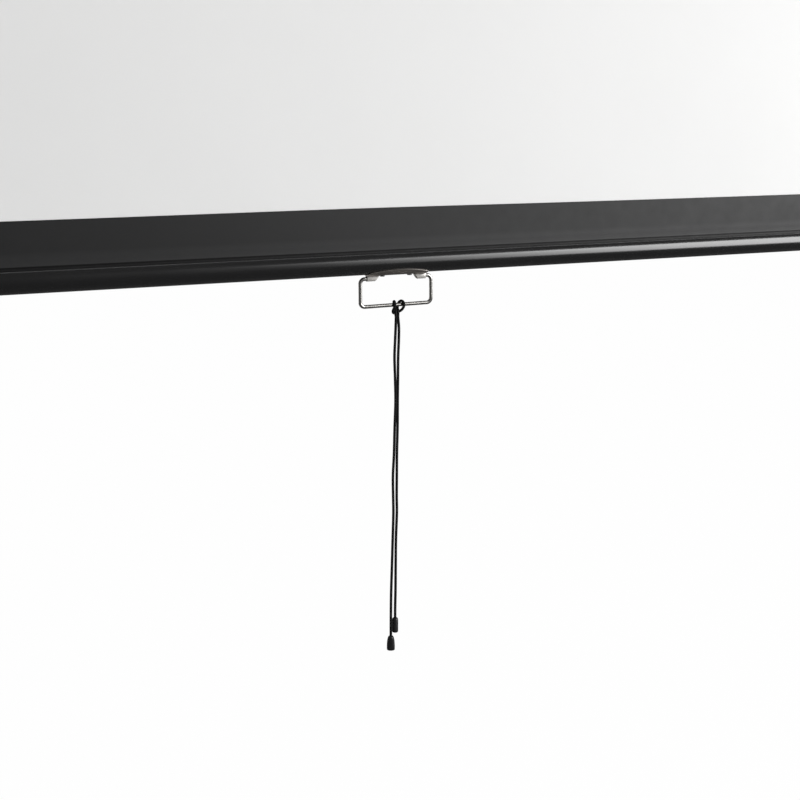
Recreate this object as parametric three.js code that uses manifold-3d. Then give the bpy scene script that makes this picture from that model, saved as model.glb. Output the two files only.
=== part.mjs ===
// Pull-down wall projection screen, drawn with the fabric fully down.
// Millimetres, +Z up, X along the width. The wall is the plane y = 0 and the front faces -Y.
// The origin is the middle of the case's flat back face, level with the roller's axis.

import * as THREE from 'three';
import { mergeVertices } from 'three/addons/utils/BufferGeometryUtils.js';
import Module from 'manifold-3d';

const wasm = await Module();
wasm.setup();

// Projection fabric
const viewWidth = 1594;
const viewHeight = 897;
const sideBorder = 38;
const topDrop = 110;
const bottomBorder = 44;
const fabricThickness = 0.4;
const woundLayers = 3.5;

// Case: a steel shell with a slot under it, whose edges are turned up
const caseDepth = 68;
const caseHeight = 68;
const caseCorner = 5;
const caseWall = 1.2;
const caseEndRoom = 26;
const slotWidth = 14;
const slotLip = 5;

// End caps: a plate over the shell's end and a hollow plug inside it
const capPlate = 4;
const capPlugDepth = 14;
const capPlugWall = 2.5;
const capBossSize = 26;
const capBossDepth = 12;

// Screws
const screwRadius = 1.9;
const screwHeadRadius = 3.6;
const screwHeadHeight = 2;
const screwRecess = 1.1;
const caseScrewLength = 8;
const bracketScrewLength = 9;
const screwPadRadius = 4.4;
const bracketScrewSpacing = 44;
const bracketScrewDepth = 12;
const caseScrewSetback = 7;
const topScrewDepth = 44;
const lowScrewDepth = 18;

// Wall brackets: one folded steel sheet on each end cap
const bracketSheet = 2;
const bracketReach = 46;
const bracketHeight = 58;
const flangeWidth = 28;
const flangeRelief = 6;
const keyholeHead = 9;
const keyholeNeck = 5;
const keyholeRise = 9;
const ceilingSlotLength = 14;
const ceilingSlotWidth = 5.5;

// Roller
const rollerRadius = 19;
const rollerWall = 1.4;
const rollerDepth = 30;
const rollerOverhang = 8;
const plugDepth = 14;
const plugWall = 3;
const plugFlange = 3;
const plugHubRadius = 7;

// Groove that holds a spline rod, in the roller and in the bottom bar
const grooveRadius = 2.7;
const grooveWall = 1.2;
const grooveMouth = 1.8;
const splineRadius = 2.2;

// Spring rod, its flat end and the torsion spring
const rodRadius = 4;
const rodFlatThickness = 3;
const rodFlatHeight = 7.4;
const rodFlatReach = 4;
const springHubRadius = 6.5;
const springWire = 2.2;
const springPitch = 15;
const springTurns = 20;
const springHubTurns = 1.5;
const springHubMargin = 3;
const anchorThickness = 12;

// Socket plate and idler bush in the end caps
const socketPlateSize = 20;
const socketPlateThickness = 2;
const socketBackRoom = 2;
const idlerPinRadius = 4;
const idlerPinGrip = 9;
const bushRadius = 7;
const bushFlangeRadius = 9;
const bushFlange = 1.5;
const bushLength = 9;

// Ratchet and its two pawls
const ratchetRadius = 8;
const ratchetThickness = 4;
const toothDepth = 1.3;
const pawlPivotRadius = 13;
const pawlHub = 2.9;
const pawlNose = 1.1;
const pawlLead = 40;
const pawlSwing = 18;
const pawlSweepSteps = 6;
const pawlPinRadius = 1.3;
const pawlPinHead = 2.3;
const pawlPinHeadHeight = 1.2;

// Bottom bar
const barRadius = 12.5;
const barWall = 1.5;
const barOverhang = 8;
const barCapPlate = 3;
const barCapEdge = 1.2;
const barCapPlug = 12;
const barCapWall = 2;
const barStopGap = 1;

// Handle: a saddle under the bar with two rolled knuckles, and a wire bail
const saddleLength = 70.8;
const saddleSheet = 1.1;
const saddleMiddleWidth = 23.6;
const saddleEndWidth = 18.6;
const saddleEndRound = 3;
const saddleFullness = 2.5;
const pinDrop = 16.5;
const knuckleRadius = 3.1;
const knuckleLength = 14;
const knuckleSlant = 6;
const saddleScrewSpacing = 33;
const saddleScrewRadius = 1.5;
const saddleScrewHead = 2.9;
const saddleScrewHeadHeight = 1;
const saddleScrewLength = 6;
const bailWire = 4;
const bailWidth = 89.8;
const bailDrop = 29.8;
const bailShoulderBend = 5;
const bailFootBend = 5.2;
const bailPinGrip = 9;

// Pull cord, folded over the bail's foot, with a moulded end on each strand
const cordDiameter = 3;
const cordEndLength = 16.6;
const cordEndRadius = 4.4;
const cordEndTop = 2.7;
const cordEndLip = 1;
const cordEndBore = 2.5;
const cordEndBoreDepth = 4;
const wrapClearance = 0.45;
const looseWrapClearance = 0.9;
const knotHeight = 6;
const knotWidth = 8.6;
const knotDepth = 6;
const knotDrop = 8.4;
const tightWrapPlace = -2.7;
const looseWrapPlace = 6.7;
const knotPlace = -0.1;
const wrapLeanShare = 0.1;

// Clearances and one overrun for every cut
const fit = 0.3;
const running = 0.5;
const through = 2;

// Facets
const fineSides = 32;
const coarseSides = 16;
const screwSides = 12;
const wireSides = 10;
const cordSides = 8;
const springSides = 5;
const springStepsPerTurn = 8;
const bailSteps = 72;
const strandSteps = 38;
const wrapSteps = 18;

// Places that follow from the sizes above
const fabricWidth = viewWidth + 2 * sideBorder;
const tubeLength = fabricWidth + 2 * rollerOverhang;
const shellLength = tubeLength + 2 * caseEndRoom;
const barLength = fabricWidth + 2 * barOverhang;
const woundInner = rollerRadius + fit;
const woundOuter = woundInner + woundLayers * fabricThickness;
const fabricDepth = rollerDepth + woundOuter + fit + fabricThickness / 2;
const caseHalf = caseHeight / 2;
const viewBottom = -(caseHalf + topDrop + viewHeight);
const barHeight = viewBottom - bottomBorder - barRadius;
const grooveSet = grooveRadius + grooveWall;
const tubeBore = rollerRadius - rollerWall;
const pawlPlane = tubeLength / 2 + fit + plugFlange + fit;

// Materials
function finish(color, roughness, metalness) {
  return new THREE.MeshStandardMaterial({ color, roughness, metalness, flatShading: true });
}
const metal = (color, roughness) => finish(color, roughness, 1);
const matt = (color, roughness) => finish(color, roughness, 0);
const casePaint = matt(0x17181a, 0.45);
const capPlastic = matt(0x141416, 0.55);
const bracketPaint = matt(0x1b1c1e, 0.5);
const barPaint = matt(0x16171a, 0.35);
const whiteFabric = matt(0xefefef, 0.9);
const blackFabric = matt(0x222326, 0.9);
const platedSteel = metal(0xb4aca0, 0.25);
const springSteel = metal(0x6a6d72, 0.35);
const zincSteel = metal(0xa9adb2, 0.4);
const aluminium = metal(0xb9bcc0, 0.45);
const nylon = matt(0xd9d6cc, 0.5);
const blackCord = matt(0x101012, 0.85);
const cordPlastic = matt(0x0d0d0f, 0.4);

// Solids: every piece is joined and cut as a closed mesh

function solid(geometry) {
  const bare = geometry.clone();
  bare.deleteAttribute('normal');
  bare.deleteAttribute('uv');
  const merged = mergeVertices(bare);
  const index = Array.from(merged.index.array);
  const triangles = [];
  for (let i = 0; i < index.length; i += 3) {
    const [a, b, c] = index.slice(i, i + 3);
    if (a !== b && b !== c && c !== a) triangles.push(a, b, c);
  }
  return new wasm.Manifold(new wasm.Mesh({
    numProp: 3,
    vertProperties: new Float32Array(merged.attributes.position.array),
    triVerts: new Uint32Array(triangles),
  }));
}

function joined(...solids) {
  return solids.reduce((all, next) => all.add(next));
}

function cut(body, ...tools) {
  return tools.reduce((rest, tool) => rest.subtract(tool), body);
}

function piece(name, material, body) {
  const { vertProperties, triVerts } = body.getMesh();
  const geometry = new THREE.BufferGeometry();
  geometry.setAttribute('position', new THREE.BufferAttribute(vertProperties, 3));
  geometry.setIndex(new THREE.BufferAttribute(triVerts, 1));
  const mesh = new THREE.Mesh(geometry, material);
  mesh.name = name;
  return mesh;
}

function groupAt(x, y, z, ...members) {
  const group = new THREE.Group();
  group.position.set(x, y, z);
  group.add(...members);
  return group;
}

// Outlines are drawn in the plane across X, with y to the right and z up

const alongX = new THREE.Matrix4().makeBasis(
  new THREE.Vector3(0, 1, 0),
  new THREE.Vector3(0, 0, 1),
  new THREE.Vector3(1, 0, 0),
);
const alongY = new THREE.Matrix4().makeBasis(
  new THREE.Vector3(0, 0, 1),
  new THREE.Vector3(1, 0, 0),
  new THREE.Vector3(0, 1, 0),
);

function prism(points, depth) {
  const shape = new THREE.Shape(points.map(([a, b]) => new THREE.Vector2(a, b)));
  return new THREE.ExtrudeGeometry(shape, { depth, bevelEnabled: false, steps: 1 });
}

function prismX(points, x0, x1) {
  return solid(prism(points, x1 - x0).applyMatrix4(alongX).translate(x0, 0, 0));
}

function prismZ(points, z0, z1) {
  return solid(prism(points, z1 - z0).translate(0, 0, z0));
}

// An outline of [z, x] pairs, pushed along Y
function prismY(points, y0, y1) {
  return solid(prism(points, y1 - y0).applyMatrix4(alongY).translate(0, y0, 0));
}

function circle(radius, sides, a = 0, b = 0) {
  return Array.from({ length: sides }, (_, i) => {
    const turn = (2 * Math.PI * i) / sides;
    return [a + radius * Math.cos(turn), b + radius * Math.sin(turn)];
  });
}

function rod(radius, x0, x1, sides = fineSides, y = 0, z = 0) {
  return prismX(circle(radius, sides, y, z), x0, x1);
}

function pipe(outer, inner, x0, x1, sides = fineSides, y = 0, z = 0) {
  return cut(rod(outer, x0, x1, sides, y, z), rod(inner, x0 - through, x1 + through, sides, y, z));
}

function box([x0, x1], [y0, y1], [z0, z1]) {
  const geometry = new THREE.BoxGeometry(x1 - x0, y1 - y0, z1 - z0);
  return solid(geometry.translate((x0 + x1) / 2, (y0 + y1) / 2, (z0 + z1) / 2));
}

// The same stretch of X on the left (side -1) or on the right (side 1)
function span(side, near, far) {
  return side > 0 ? [near, far] : [-far, -near];
}

function tube(curve, radius, sides, steps) {
  const section = new THREE.Shape(circle(radius, sides).map(([a, b]) => new THREE.Vector2(a, b)));
  return solid(new THREE.ExtrudeGeometry(section, { extrudePath: curve, steps, bevelEnabled: false }));
}

function revolved(profile, sides) {
  const points = profile.map(([r, h]) => new THREE.Vector2(r, h));
  return solid(new THREE.LatheGeometry(points, sides).rotateX(Math.PI / 2));
}

// A pan head screw along Z, head up, with the underside of its head at z = 0
function panScrew(radius, headRadius, headHeight, length) {
  const shoulder = headHeight / 2;
  const body = revolved([
    [0, -length], [radius, -length], [radius, 0], [headRadius, 0],
    [headRadius, shoulder], [headRadius - shoulder, headHeight], [0, headHeight],
  ], screwSides);
  const slotHalf = screwRecess / 4;
  const reach = headRadius / 2;
  const recess = [headHeight - screwRecess, headHeight + through];
  return cut(
    body,
    box([-reach, reach], [-slotHalf, slotHalf], recess),
    box([-slotHalf, slotHalf], [-reach, reach], recess),
  );
}

function turned(body, x, y, z) {
  return body.rotate([x, y, z]);
}

function moved(body, x, y, z) {
  return body.translate([x, y, z]);
}

// Case

function caseOutline(inset) {
  const back = -inset;
  const front = -caseDepth + inset;
  const high = caseHalf - inset;
  const corner = caseCorner - inset * (2 - Math.SQRT2);
  return [
    [back, -high + corner], [back, high - corner], [back - corner, high], [front + corner, high],
    [front, high - corner], [front, -high + corner], [front + corner, -high], [back - corner, -high],
  ];
}

function caseShell() {
  const half = shellLength / 2;
  const rear = -fabricDepth + slotWidth / 2;
  const front = -fabricDepth - slotWidth / 2;
  const hollow = prismX(caseOutline(caseWall), -half - through, half + through);
  const lips = [
    box([-half, half], [rear, rear + caseWall], [-caseHalf, -caseHalf + slotLip]),
    box([-half, half], [front - caseWall, front], [-caseHalf, -caseHalf + slotLip]),
  ];
  const slotHeight = [-caseHalf - through, -caseHalf + slotLip];
  const slot = box([-half - through, half + through], [front, rear], slotHeight);
  const shell = cut(prismX(caseOutline(0), -half, half), hollow);
  return cut(joined(shell, ...lips), slot, ...[-1, 1].flatMap(caseScrewHoles));
}

function caseScrewHoles(side) {
  const x = side * (shellLength / 2 - caseScrewSetback);
  return caseScrewPlaces().map(({ y, up }) => prismZ(
    circle(screwRadius + fit, screwSides, x, y),
    up * caseHalf - through,
    up * caseHalf + through,
  ));
}

function caseScrewPlaces() {
  return [{ y: -topScrewDepth, up: 1 }, { y: -lowScrewDepth, up: -1 }];
}

// End caps, drawn from the shell's end outwards and inwards on either side

function endCap(side) {
  const face = shellLength / 2 + fit;
  const plate = prismX(caseOutline(0), ...span(side, face, face + capPlate));
  const wallInset = caseWall + fit;
  const plug = cut(
    prismX(caseOutline(wallInset), ...span(side, face - capPlugDepth, face)),
    prismX(caseOutline(wallInset + capPlugWall), ...span(side, face - capPlugDepth - through, face)),
    slotRoom(),
  );
  const half = capBossSize / 2;
  const bossDepth = span(side, face - capBossDepth, face);
  const boss = box(bossDepth, [-rollerDepth - half, -rollerDepth + half], [-half, half]);
  const pads = bracketScrewPlaces().map(([y, z]) => rod(
    screwPadRadius, ...span(side, face - bracketScrewLength, face), screwSides, y, z,
  ));
  const screwWay = span(side, face - bracketScrewLength - through, face + capPlate + through);
  const screwBores = bracketScrewPlaces().map(([y, z]) => (
    rod(screwRadius + fit, ...screwWay, screwSides, y, z)
  ));
  const blocks = caseScrewPlaces().map((place) => caseScrewBlock(side, face, place));
  return cut(joined(plate, plug, boss, ...pads, ...blocks), ...screwBores, ...capScrewBores(side));
}

function slotRoom() {
  const reach = slotWidth / 2 + caseWall + fit;
  return box(
    [-shellLength, shellLength],
    [-fabricDepth - reach, -fabricDepth + reach],
    [-caseHalf - through, -caseHalf + slotLip + fit],
  );
}

// The block of plastic that a case screw bites into, behind the plug's wall
function caseScrewBlock(side, face, { y, up }) {
  const outer = caseHalf - caseWall - fit;
  const inner = outer - caseScrewLength;
  const height = up > 0 ? [inner, outer] : [-outer, -inner];
  return box(
    span(side, face - capPlugDepth, face),
    [y - screwPadRadius, y + screwPadRadius],
    height,
  );
}

function capScrewBores(side) {
  const x = side * (shellLength / 2 - caseScrewSetback);
  const outer = caseHalf - caseWall;
  const inner = outer - caseScrewLength;
  return caseScrewPlaces().map(({ y, up }) => prismZ(
    circle(screwRadius + fit, screwSides, x, y),
    Math.min(up * outer, up * inner) - through,
    Math.max(up * outer, up * inner) + through,
  ));
}

function leftEndCap() {
  const face = shellLength / 2 + fit;
  const inner = face - capBossDepth;
  const half = socketPlateSize / 2 + fit;
  const pocket = box(
    span(-1, inner - through, inner + socketPlateThickness + fit),
    [-rollerDepth - half, -rollerDepth + half],
    [-half, half],
  );
  const spearRoom = box(
    span(-1, inner, inner + socketPlateThickness + rodFlatReach + socketBackRoom),
    [-rollerDepth - rodFlatThickness, -rollerDepth + rodFlatThickness],
    [-rodFlatHeight / 2 - running, rodFlatHeight / 2 + running],
  );
  return cut(endCap(-1), pocket, spearRoom);
}

function rightEndCap() {
  const face = shellLength / 2 + fit;
  const inner = face - capBossDepth;
  const seat = rod(bushRadius + fit, inner - through, inner + bushLength + fit, fineSides, -rollerDepth, 0);
  return cut(endCap(1), seat);
}

function caseScrew(side, { y, up }) {
  const screw = panScrew(screwRadius, screwHeadRadius, screwHeadHeight, caseScrewLength);
  const x = side * (shellLength / 2 - caseScrewSetback);
  const stood = up > 0 ? screw : turned(screw, 180, 0, 0);
  return moved(stood, x, y, up * (caseHalf + fit));
}

// Wall brackets

function bracketScrewPlaces() {
  const half = bracketScrewSpacing / 2;
  return [[-bracketScrewDepth, half], [-bracketScrewDepth, -half]];
}

function wallBracket(side) {
  const inner = shellLength / 2 + fit + capPlate + fit;
  const outer = inner + flangeWidth;
  const low = caseHalf - bracketHeight;
  const plate = box(span(side, inner, inner + bracketSheet), [-bracketReach, 0], [low, caseHalf]);
  const wallFlange = box(span(side, inner, outer), [-bracketSheet, 0], [low, caseHalf - flangeRelief]);
  const topFlange = box(
    span(side, inner, outer),
    [-bracketReach, -bracketSheet - flangeRelief],
    [caseHalf - bracketSheet, caseHalf],
  );
  const middle = side * (inner + bracketSheet + (flangeWidth - bracketSheet) / 2);
  const bores = bracketScrewPlaces().map(([y, z]) => rod(
    screwRadius + fit, ...span(side, inner - through, inner + bracketSheet + through), screwSides, y, z,
  ));
  return cut(joined(plate, wallFlange, topFlange), ...bores, ...keyhole(middle), ...ceilingSlot(middle));
}

// A round hole for the screw's head with a narrow neck above it, in the wall flange
function keyhole(x) {
  const depth = [-bracketSheet - through, through];
  const neckHalf = keyholeNeck / 2;
  return [
    prismY(circle(keyholeHead / 2, coarseSides, 0, x), ...depth),
    prismY(circle(neckHalf, coarseSides, keyholeRise, x), ...depth),
    box([x - neckHalf, x + neckHalf], depth, [0, keyholeRise]),
  ];
}

// A slot for a ceiling screw or hook, in the top flange
function ceilingSlot(x) {
  const middle = -(bracketSheet + flangeRelief + bracketReach) / 2;
  const half = ceilingSlotWidth / 2;
  const reach = ceilingSlotLength / 2 - half;
  const height = [caseHalf - bracketSheet - through, caseHalf + through];
  return [
    prismZ(circle(half, coarseSides, x, middle - reach), ...height),
    prismZ(circle(half, coarseSides, x, middle + reach), ...height),
    box([x - half, x + half], [middle - reach, middle + reach], height),
  ];
}

function bracketScrew(side, [y, z]) {
  const screw = panScrew(screwRadius, screwHeadRadius, screwHeadHeight, bracketScrewLength);
  const x = shellLength / 2 + fit + capPlate + fit + bracketSheet + fit;
  return moved(turned(screw, 0, side * 90, 0), side * x, y, z);
}

// Roller, drawn about its own axis

function grooveTube(radius, wall, length) {
  const half = length / 2;
  const bore = rod(radius - wall, -half - through, half + through);
  const centre = radius - grooveSet;
  const keep = rod(grooveSet, -half, half, coarseSides, 0, centre);
  const body = joined(cut(rod(radius, -half, half), bore), keep);
  return cut(
    body,
    rod(grooveRadius, -half - through, half + through, coarseSides, 0, centre),
    box([-half - through, half + through], [-grooveMouth / 2, grooveMouth / 2], [centre, radius + through]),
  );
}

// What a plug inside a grooved tube leaves free for the groove
function grooveRoom(radius) {
  const reach = grooveSet + fit;
  const centre = radius - grooveSet;
  return joined(
    rod(reach, -tubeLength, tubeLength, coarseSides, 0, centre),
    box([-tubeLength, tubeLength], [-reach, reach], [centre, radius + through]),
  );
}

function rollerTube() {
  return grooveTube(rollerRadius, rollerWall, tubeLength);
}

function rollerSpline() {
  return rod(splineRadius, -fabricWidth / 2, fabricWidth / 2, coarseSides, 0, rollerRadius - grooveSet);
}

function woundFabric() {
  return pipe(woundOuter, woundInner, -fabricWidth / 2, fabricWidth / 2);
}

// A cup that closes one end of the tube, with a flange outside it and a hub round its bore
function rollerPlug(side, bore) {
  const end = tubeLength / 2;
  const outer = tubeBore - fit;
  const middle = end + fit + plugFlange / 2;
  const cup = pipe(outer, outer - plugWall, ...span(side, end - plugDepth, middle));
  const hub = rod(plugHubRadius, ...span(side, end - plugDepth, middle));
  const flange = rod(rollerRadius, ...span(side, end + fit, end + fit + plugFlange));
  const shaftway = rod(bore, ...span(side, end - plugDepth - through, end + fit + plugFlange + through));
  return cut(joined(cut(joined(cup, hub), grooveRoom(rollerRadius)), flange), shaftway);
}

function ratchetHead() {
  const end = tubeLength / 2 + fit;
  const pinWay = span(-1, end - through, end + plugFlange + through);
  const pinBore = rod(pawlPinRadius + fit, ...pinWay, coarseSides, pawlPivotRadius, 0);
  const pinBores = [0, 1].map((which) => pawlTurned(pinBore, which));
  return cut(rollerPlug(-1, rodRadius + running), ...pinBores);
}

function idlerPlug() {
  return rollerPlug(1, idlerPinRadius + fit);
}

function idlerPin() {
  const boss = shellLength / 2 + fit - capBossDepth;
  return rod(idlerPinRadius, tubeLength / 2 - idlerPinGrip, boss + bushLength - fit);
}

function idlerBush() {
  const boss = shellLength / 2 + fit - capBossDepth;
  const face = boss - fit;
  const bore = rod(idlerPinRadius + running, face - bushFlange - through, boss + bushLength + through);
  const flange = rod(bushFlangeRadius, face - bushFlange, face);
  const sleeve = rod(bushRadius, face - bushFlange / 2, boss + bushLength);
  return cut(joined(flange, sleeve), bore);
}

// Pawls and ratchet

// The second pawl is the first one turned half a turn about the roller's axis
function pawlTurned(body, which) {
  return turned(body, 90 + which * 180, 0, 0);
}

// The nose's place about the roller's axis when the pawl is engaged, and the arm that leads to it
function pawlArm() {
  const lead = THREE.MathUtils.degToRad(pawlLead);
  const reach = ratchetRadius - toothDepth;
  const nose = [reach * Math.cos(lead), reach * Math.sin(lead)];
  const across = [nose[0] - pawlPivotRadius, nose[1]];
  return { length: Math.hypot(...across), direction: Math.atan2(across[1], across[0]) };
}

function pawlOutline(grow) {
  const { length } = pawlArm();
  const hub = pawlHub + grow;
  const nose = pawlNose + grow;
  const back = Array.from({ length: coarseSides / 2 + 1 }, (_, i) => {
    const turn = Math.PI / 2 + (Math.PI * i) / (coarseSides / 2);
    return [hub * Math.cos(turn), hub * Math.sin(turn)];
  });
  return [...back, [length + grow, -nose], [length + grow, nose]];
}

// The pawl's outline pushed to the ratchet's thickness, swung by an angle from its engaged place
function pawlBlank(grow, swing, x0, x1) {
  const { direction } = pawlArm();
  const blank = prismX(pawlOutline(grow), x0, x1);
  return moved(turned(blank, THREE.MathUtils.radToDeg(direction) + swing, 0, 0), 0, pawlPivotRadius, 0);
}

function pawl(which) {
  const blank = pawlBlank(0, -pawlSwing, ...span(-1, pawlPlane, pawlPlane + ratchetThickness));
  const bore = rod(
    pawlPinRadius + fit, ...span(-1, pawlPlane - through, pawlPlane + ratchetThickness + through),
    coarseSides, pawlPivotRadius, 0,
  );
  return pawlTurned(cut(blank, bore), which);
}

function pawlPin(which) {
  const end = tubeLength / 2 + fit;
  const top = pawlPlane + ratchetThickness + fit;
  const pin = joined(
    rod(pawlPinRadius, ...span(-1, end, top), coarseSides, pawlPivotRadius, 0),
    rod(pawlPinHead, ...span(-1, top, top + pawlPinHeadHeight), coarseSides, pawlPivotRadius, 0),
  );
  return pawlTurned(pin, which);
}

function ratchetWheel() {
  const wheel = pipe(ratchetRadius, rodRadius + fit, ...span(-1, pawlPlane, pawlPlane + ratchetThickness));
  const way = span(-1, pawlPlane - through, pawlPlane + ratchetThickness + through);
  const sweep = Array.from({ length: pawlSweepSteps + 1 }, (_, step) => (
    pawlBlank(fit, -(pawlSwing * step) / pawlSweepSteps, ...way)
  ));
  return cut(wheel, ...sweep.map((at) => pawlTurned(at, 0)), ...sweep.map((at) => pawlTurned(at, 1)));
}

// Spring rod and spring, inside the left part of the roller

const springStart = -tubeLength / 2 + plugDepth + springHubMargin;
const springEnd = springStart + springPitch * springTurns;
const springHubLength = springPitch * springHubTurns;

function springRod() {
  const boss = shellLength / 2 + fit - capBossDepth;
  const flatStart = pawlPlane + ratchetThickness;
  const round = rod(rodRadius, -flatStart, springEnd + springWire / 2 + fit + anchorThickness);
  const flat = box(
    span(-1, flatStart - through, boss + socketPlateThickness + rodFlatReach),
    [-rodFlatThickness / 2, rodFlatThickness / 2],
    [-rodFlatHeight / 2, rodFlatHeight / 2],
  );
  const hub = rod(springHubRadius, springStart - springHubMargin / 2, springStart + springHubLength);
  return joined(round, flat, hub);
}

function socketPlate() {
  const boss = shellLength / 2 + fit - capBossDepth;
  const half = socketPlateSize / 2;
  const plate = box(span(-1, boss, boss + socketPlateThickness), [-half, half], [-half, half]);
  const slot = box(
    span(-1, boss - through, boss + socketPlateThickness + through),
    [-rodFlatThickness / 2 - fit, rodFlatThickness / 2 + fit],
    [-rodFlatHeight / 2 - fit, rodFlatHeight / 2 + fit],
  );
  return cut(plate, slot);
}

class Helix extends THREE.Curve {
  constructor(radius, pitch, turns, start) {
    super();
    Object.assign(this, { radius, pitch, turns, start });
  }

  getPoint(t, target = new THREE.Vector3()) {
    const angle = 2 * Math.PI * this.turns * t;
    return target.set(
      this.start + this.pitch * this.turns * t,
      this.radius * Math.cos(angle),
      this.radius * Math.sin(angle),
    );
  }
}

function torsionSpring() {
  const radius = (springHubRadius + fit + springWire / 2) / Math.cos(Math.PI / springStepsPerTurn);
  const helix = new Helix(radius, springPitch, springTurns, springStart);
  return tube(helix, springWire / 2, springSides, springTurns * springStepsPerTurn);
}

function springAnchor() {
  const face = springEnd + springWire / 2 + fit;
  const end = face + anchorThickness;
  const bore = rod(rodRadius + running, springEnd - springHubLength - through, end + through);
  const disc = cut(rod(tubeBore - fit, face, end), grooveRoom(rollerRadius));
  const boss = rod(springHubRadius, springEnd - springHubLength, (face + end) / 2);
  return cut(joined(disc, boss), bore);
}

// Fabric: the hanging sheet, and the bottom border that the bar carries

function fabricSheet() {
  const half = fabricWidth / 2;
  const y = [-fabricDepth - fabricThickness / 2, -fabricDepth + fabricThickness / 2];
  return box([-half, half], y, [viewBottom, 0]);
}

// The lower border hangs in the bar's frame, from the sheet down into the bar's groove
function borderStrip() {
  const half = fabricWidth / 2;
  const seat = barRadius - grooveSet + splineRadius + fit;
  const top = barRadius + bottomBorder - fit;
  return box([-half, half], [-fabricThickness / 2, fabricThickness / 2], [seat, top]);
}

// Bottom bar, drawn about its own middle

function bottomBar() {
  const screws = saddleScrewPlaces().map((x) => prismZ(
    circle(saddleScrewRadius + fit, screwSides, x, 0), -barRadius - through, -barRadius + barWall + through,
  ));
  return cut(grooveTube(barRadius, barWall, barLength), ...screws);
}

function hemSpline() {
  return rod(splineRadius, -fabricWidth / 2, fabricWidth / 2, coarseSides, 0, barRadius - grooveSet);
}

function barCap(side) {
  const end = barLength / 2;
  const outer = barRadius - barWall - fit;
  const plug = cut(
    pipe(outer, outer - barCapWall, ...span(side, end - barCapPlug, end + fit + barCapPlate / 2)),
    grooveRoom(barRadius),
  );
  const plate = revolved([
    [0, 0], [barRadius, 0], [barRadius, barCapPlate - barCapEdge],
    [barRadius - barCapEdge, barCapPlate], [0, barCapPlate],
  ], fineSides);
  return joined(plug, moved(turned(plate, 0, side * 90, 0), side * (end + fit), 0, 0));
}

// Handle

function saddleScrewPlaces() {
  return [-saddleScrewSpacing / 2, saddleScrewSpacing / 2];
}

// The saddle's outline from below: widest in the middle and drawn in to rounded ends
function saddleOutline() {
  const half = saddleLength / 2;
  const edge = Array.from({ length: wireSides + 1 }, (_, i) => {
    const along = -1 + (2 * i) / wireSides;
    const grown = 1 - Math.abs(along) ** saddleFullness;
    const width = saddleEndWidth + (saddleMiddleWidth - saddleEndWidth) * grown;
    return [along * (half - saddleEndRound), width / 2];
  });
  const endHalf = saddleEndWidth / 2 - saddleEndRound / 2;
  const near = edge.map(([x, w]) => [x, -w]);
  const far = edge.map(([x, w]) => [x, w]).reverse();
  return [[-half, -endHalf], ...near, [half, -endHalf], [half, endHalf], ...far, [-half, endHalf]];
}

function saddle() {
  const inner = barRadius + fit;
  const outer = inner + saddleSheet;
  const half = saddleLength / 2;
  const wrap = pipe(outer, inner, -half, half);
  const plate = wrap.intersect(prismZ(saddleOutline(), -outer - through, 0));
  const screws = saddleScrewPlaces().map((x) => prismZ(
    circle(saddleScrewRadius + fit, screwSides, x, 0), -outer - through, -inner + through,
  ));
  return cut(joined(plate, knuckle(-1), knuckle(1)), ...screws);
}

// A rolled end of the saddle, round the bail's pin, cut back at a slant on its inner side
function knuckle(side) {
  const far = saddleLength / 2;
  const near = far - knuckleLength;
  const barrel = rod(knuckleRadius, ...span(side, near, far), coarseSides, 0, -pinDrop);
  const web = box(
    span(side, near, far),
    [-knuckleRadius, saddleSheet - knuckleRadius],
    [-pinDrop, -barRadius - fit - saddleSheet / 2],
  );
  const low = -pinDrop - knuckleRadius - through;
  const high = -pinDrop + knuckleRadius;
  const slant = prismY([
    [low, side * (near - through)], [low, side * (near + knuckleSlant)],
    [high, side * near], [high, side * (near - through)],
  ], -knuckleRadius - through, knuckleRadius + through);
  const bore = rod(
    bailWire / 2 + fit, ...span(side, near - through, far + through), wireSides * 2, 0, -pinDrop,
  );
  return cut(joined(barrel, web), slant, bore);
}

function saddleScrew(x) {
  const screw = panScrew(saddleScrewRadius, saddleScrewHead, saddleScrewHeadHeight, saddleScrewLength);
  return moved(turned(screw, 180, 0, 0), x, 0, -barRadius - fit - saddleSheet - fit);
}

// The bail's wire, drawn about its pin axis: two pins, two arms and the foot
function bailCurve() {
  const arm = bailWidth / 2 - bailWire / 2;
  const pin = saddleLength / 2 - bailPinGrip;
  const path = new THREE.CurvePath();
  const left = [
    new THREE.Vector3(-pin, 0, 0),
    new THREE.Vector3(-arm + bailShoulderBend, 0, 0),
    new THREE.Vector3(-arm, 0, -bailShoulderBend),
    new THREE.Vector3(-arm, 0, -bailDrop + bailFootBend),
    new THREE.Vector3(-arm + bailFootBend, 0, -bailDrop),
  ];
  const right = left.map((p) => new THREE.Vector3(-p.x, 0, p.z)).reverse();
  path.add(new THREE.LineCurve3(left[0], left[1]));
  path.add(new QuarterTurn(left[1], left[2], new THREE.Vector3(left[1].x, 0, left[2].z)));
  path.add(new THREE.LineCurve3(left[2], left[3]));
  path.add(new QuarterTurn(left[3], left[4], new THREE.Vector3(left[4].x, 0, left[3].z)));
  path.add(new THREE.LineCurve3(left[4], right[0]));
  path.add(new QuarterTurn(right[0], right[1], new THREE.Vector3(right[0].x, 0, right[1].z)));
  path.add(new THREE.LineCurve3(right[1], right[2]));
  path.add(new QuarterTurn(right[2], right[3], new THREE.Vector3(right[3].x, 0, right[2].z)));
  path.add(new THREE.LineCurve3(right[3], right[4]));
  return path;
}

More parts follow.
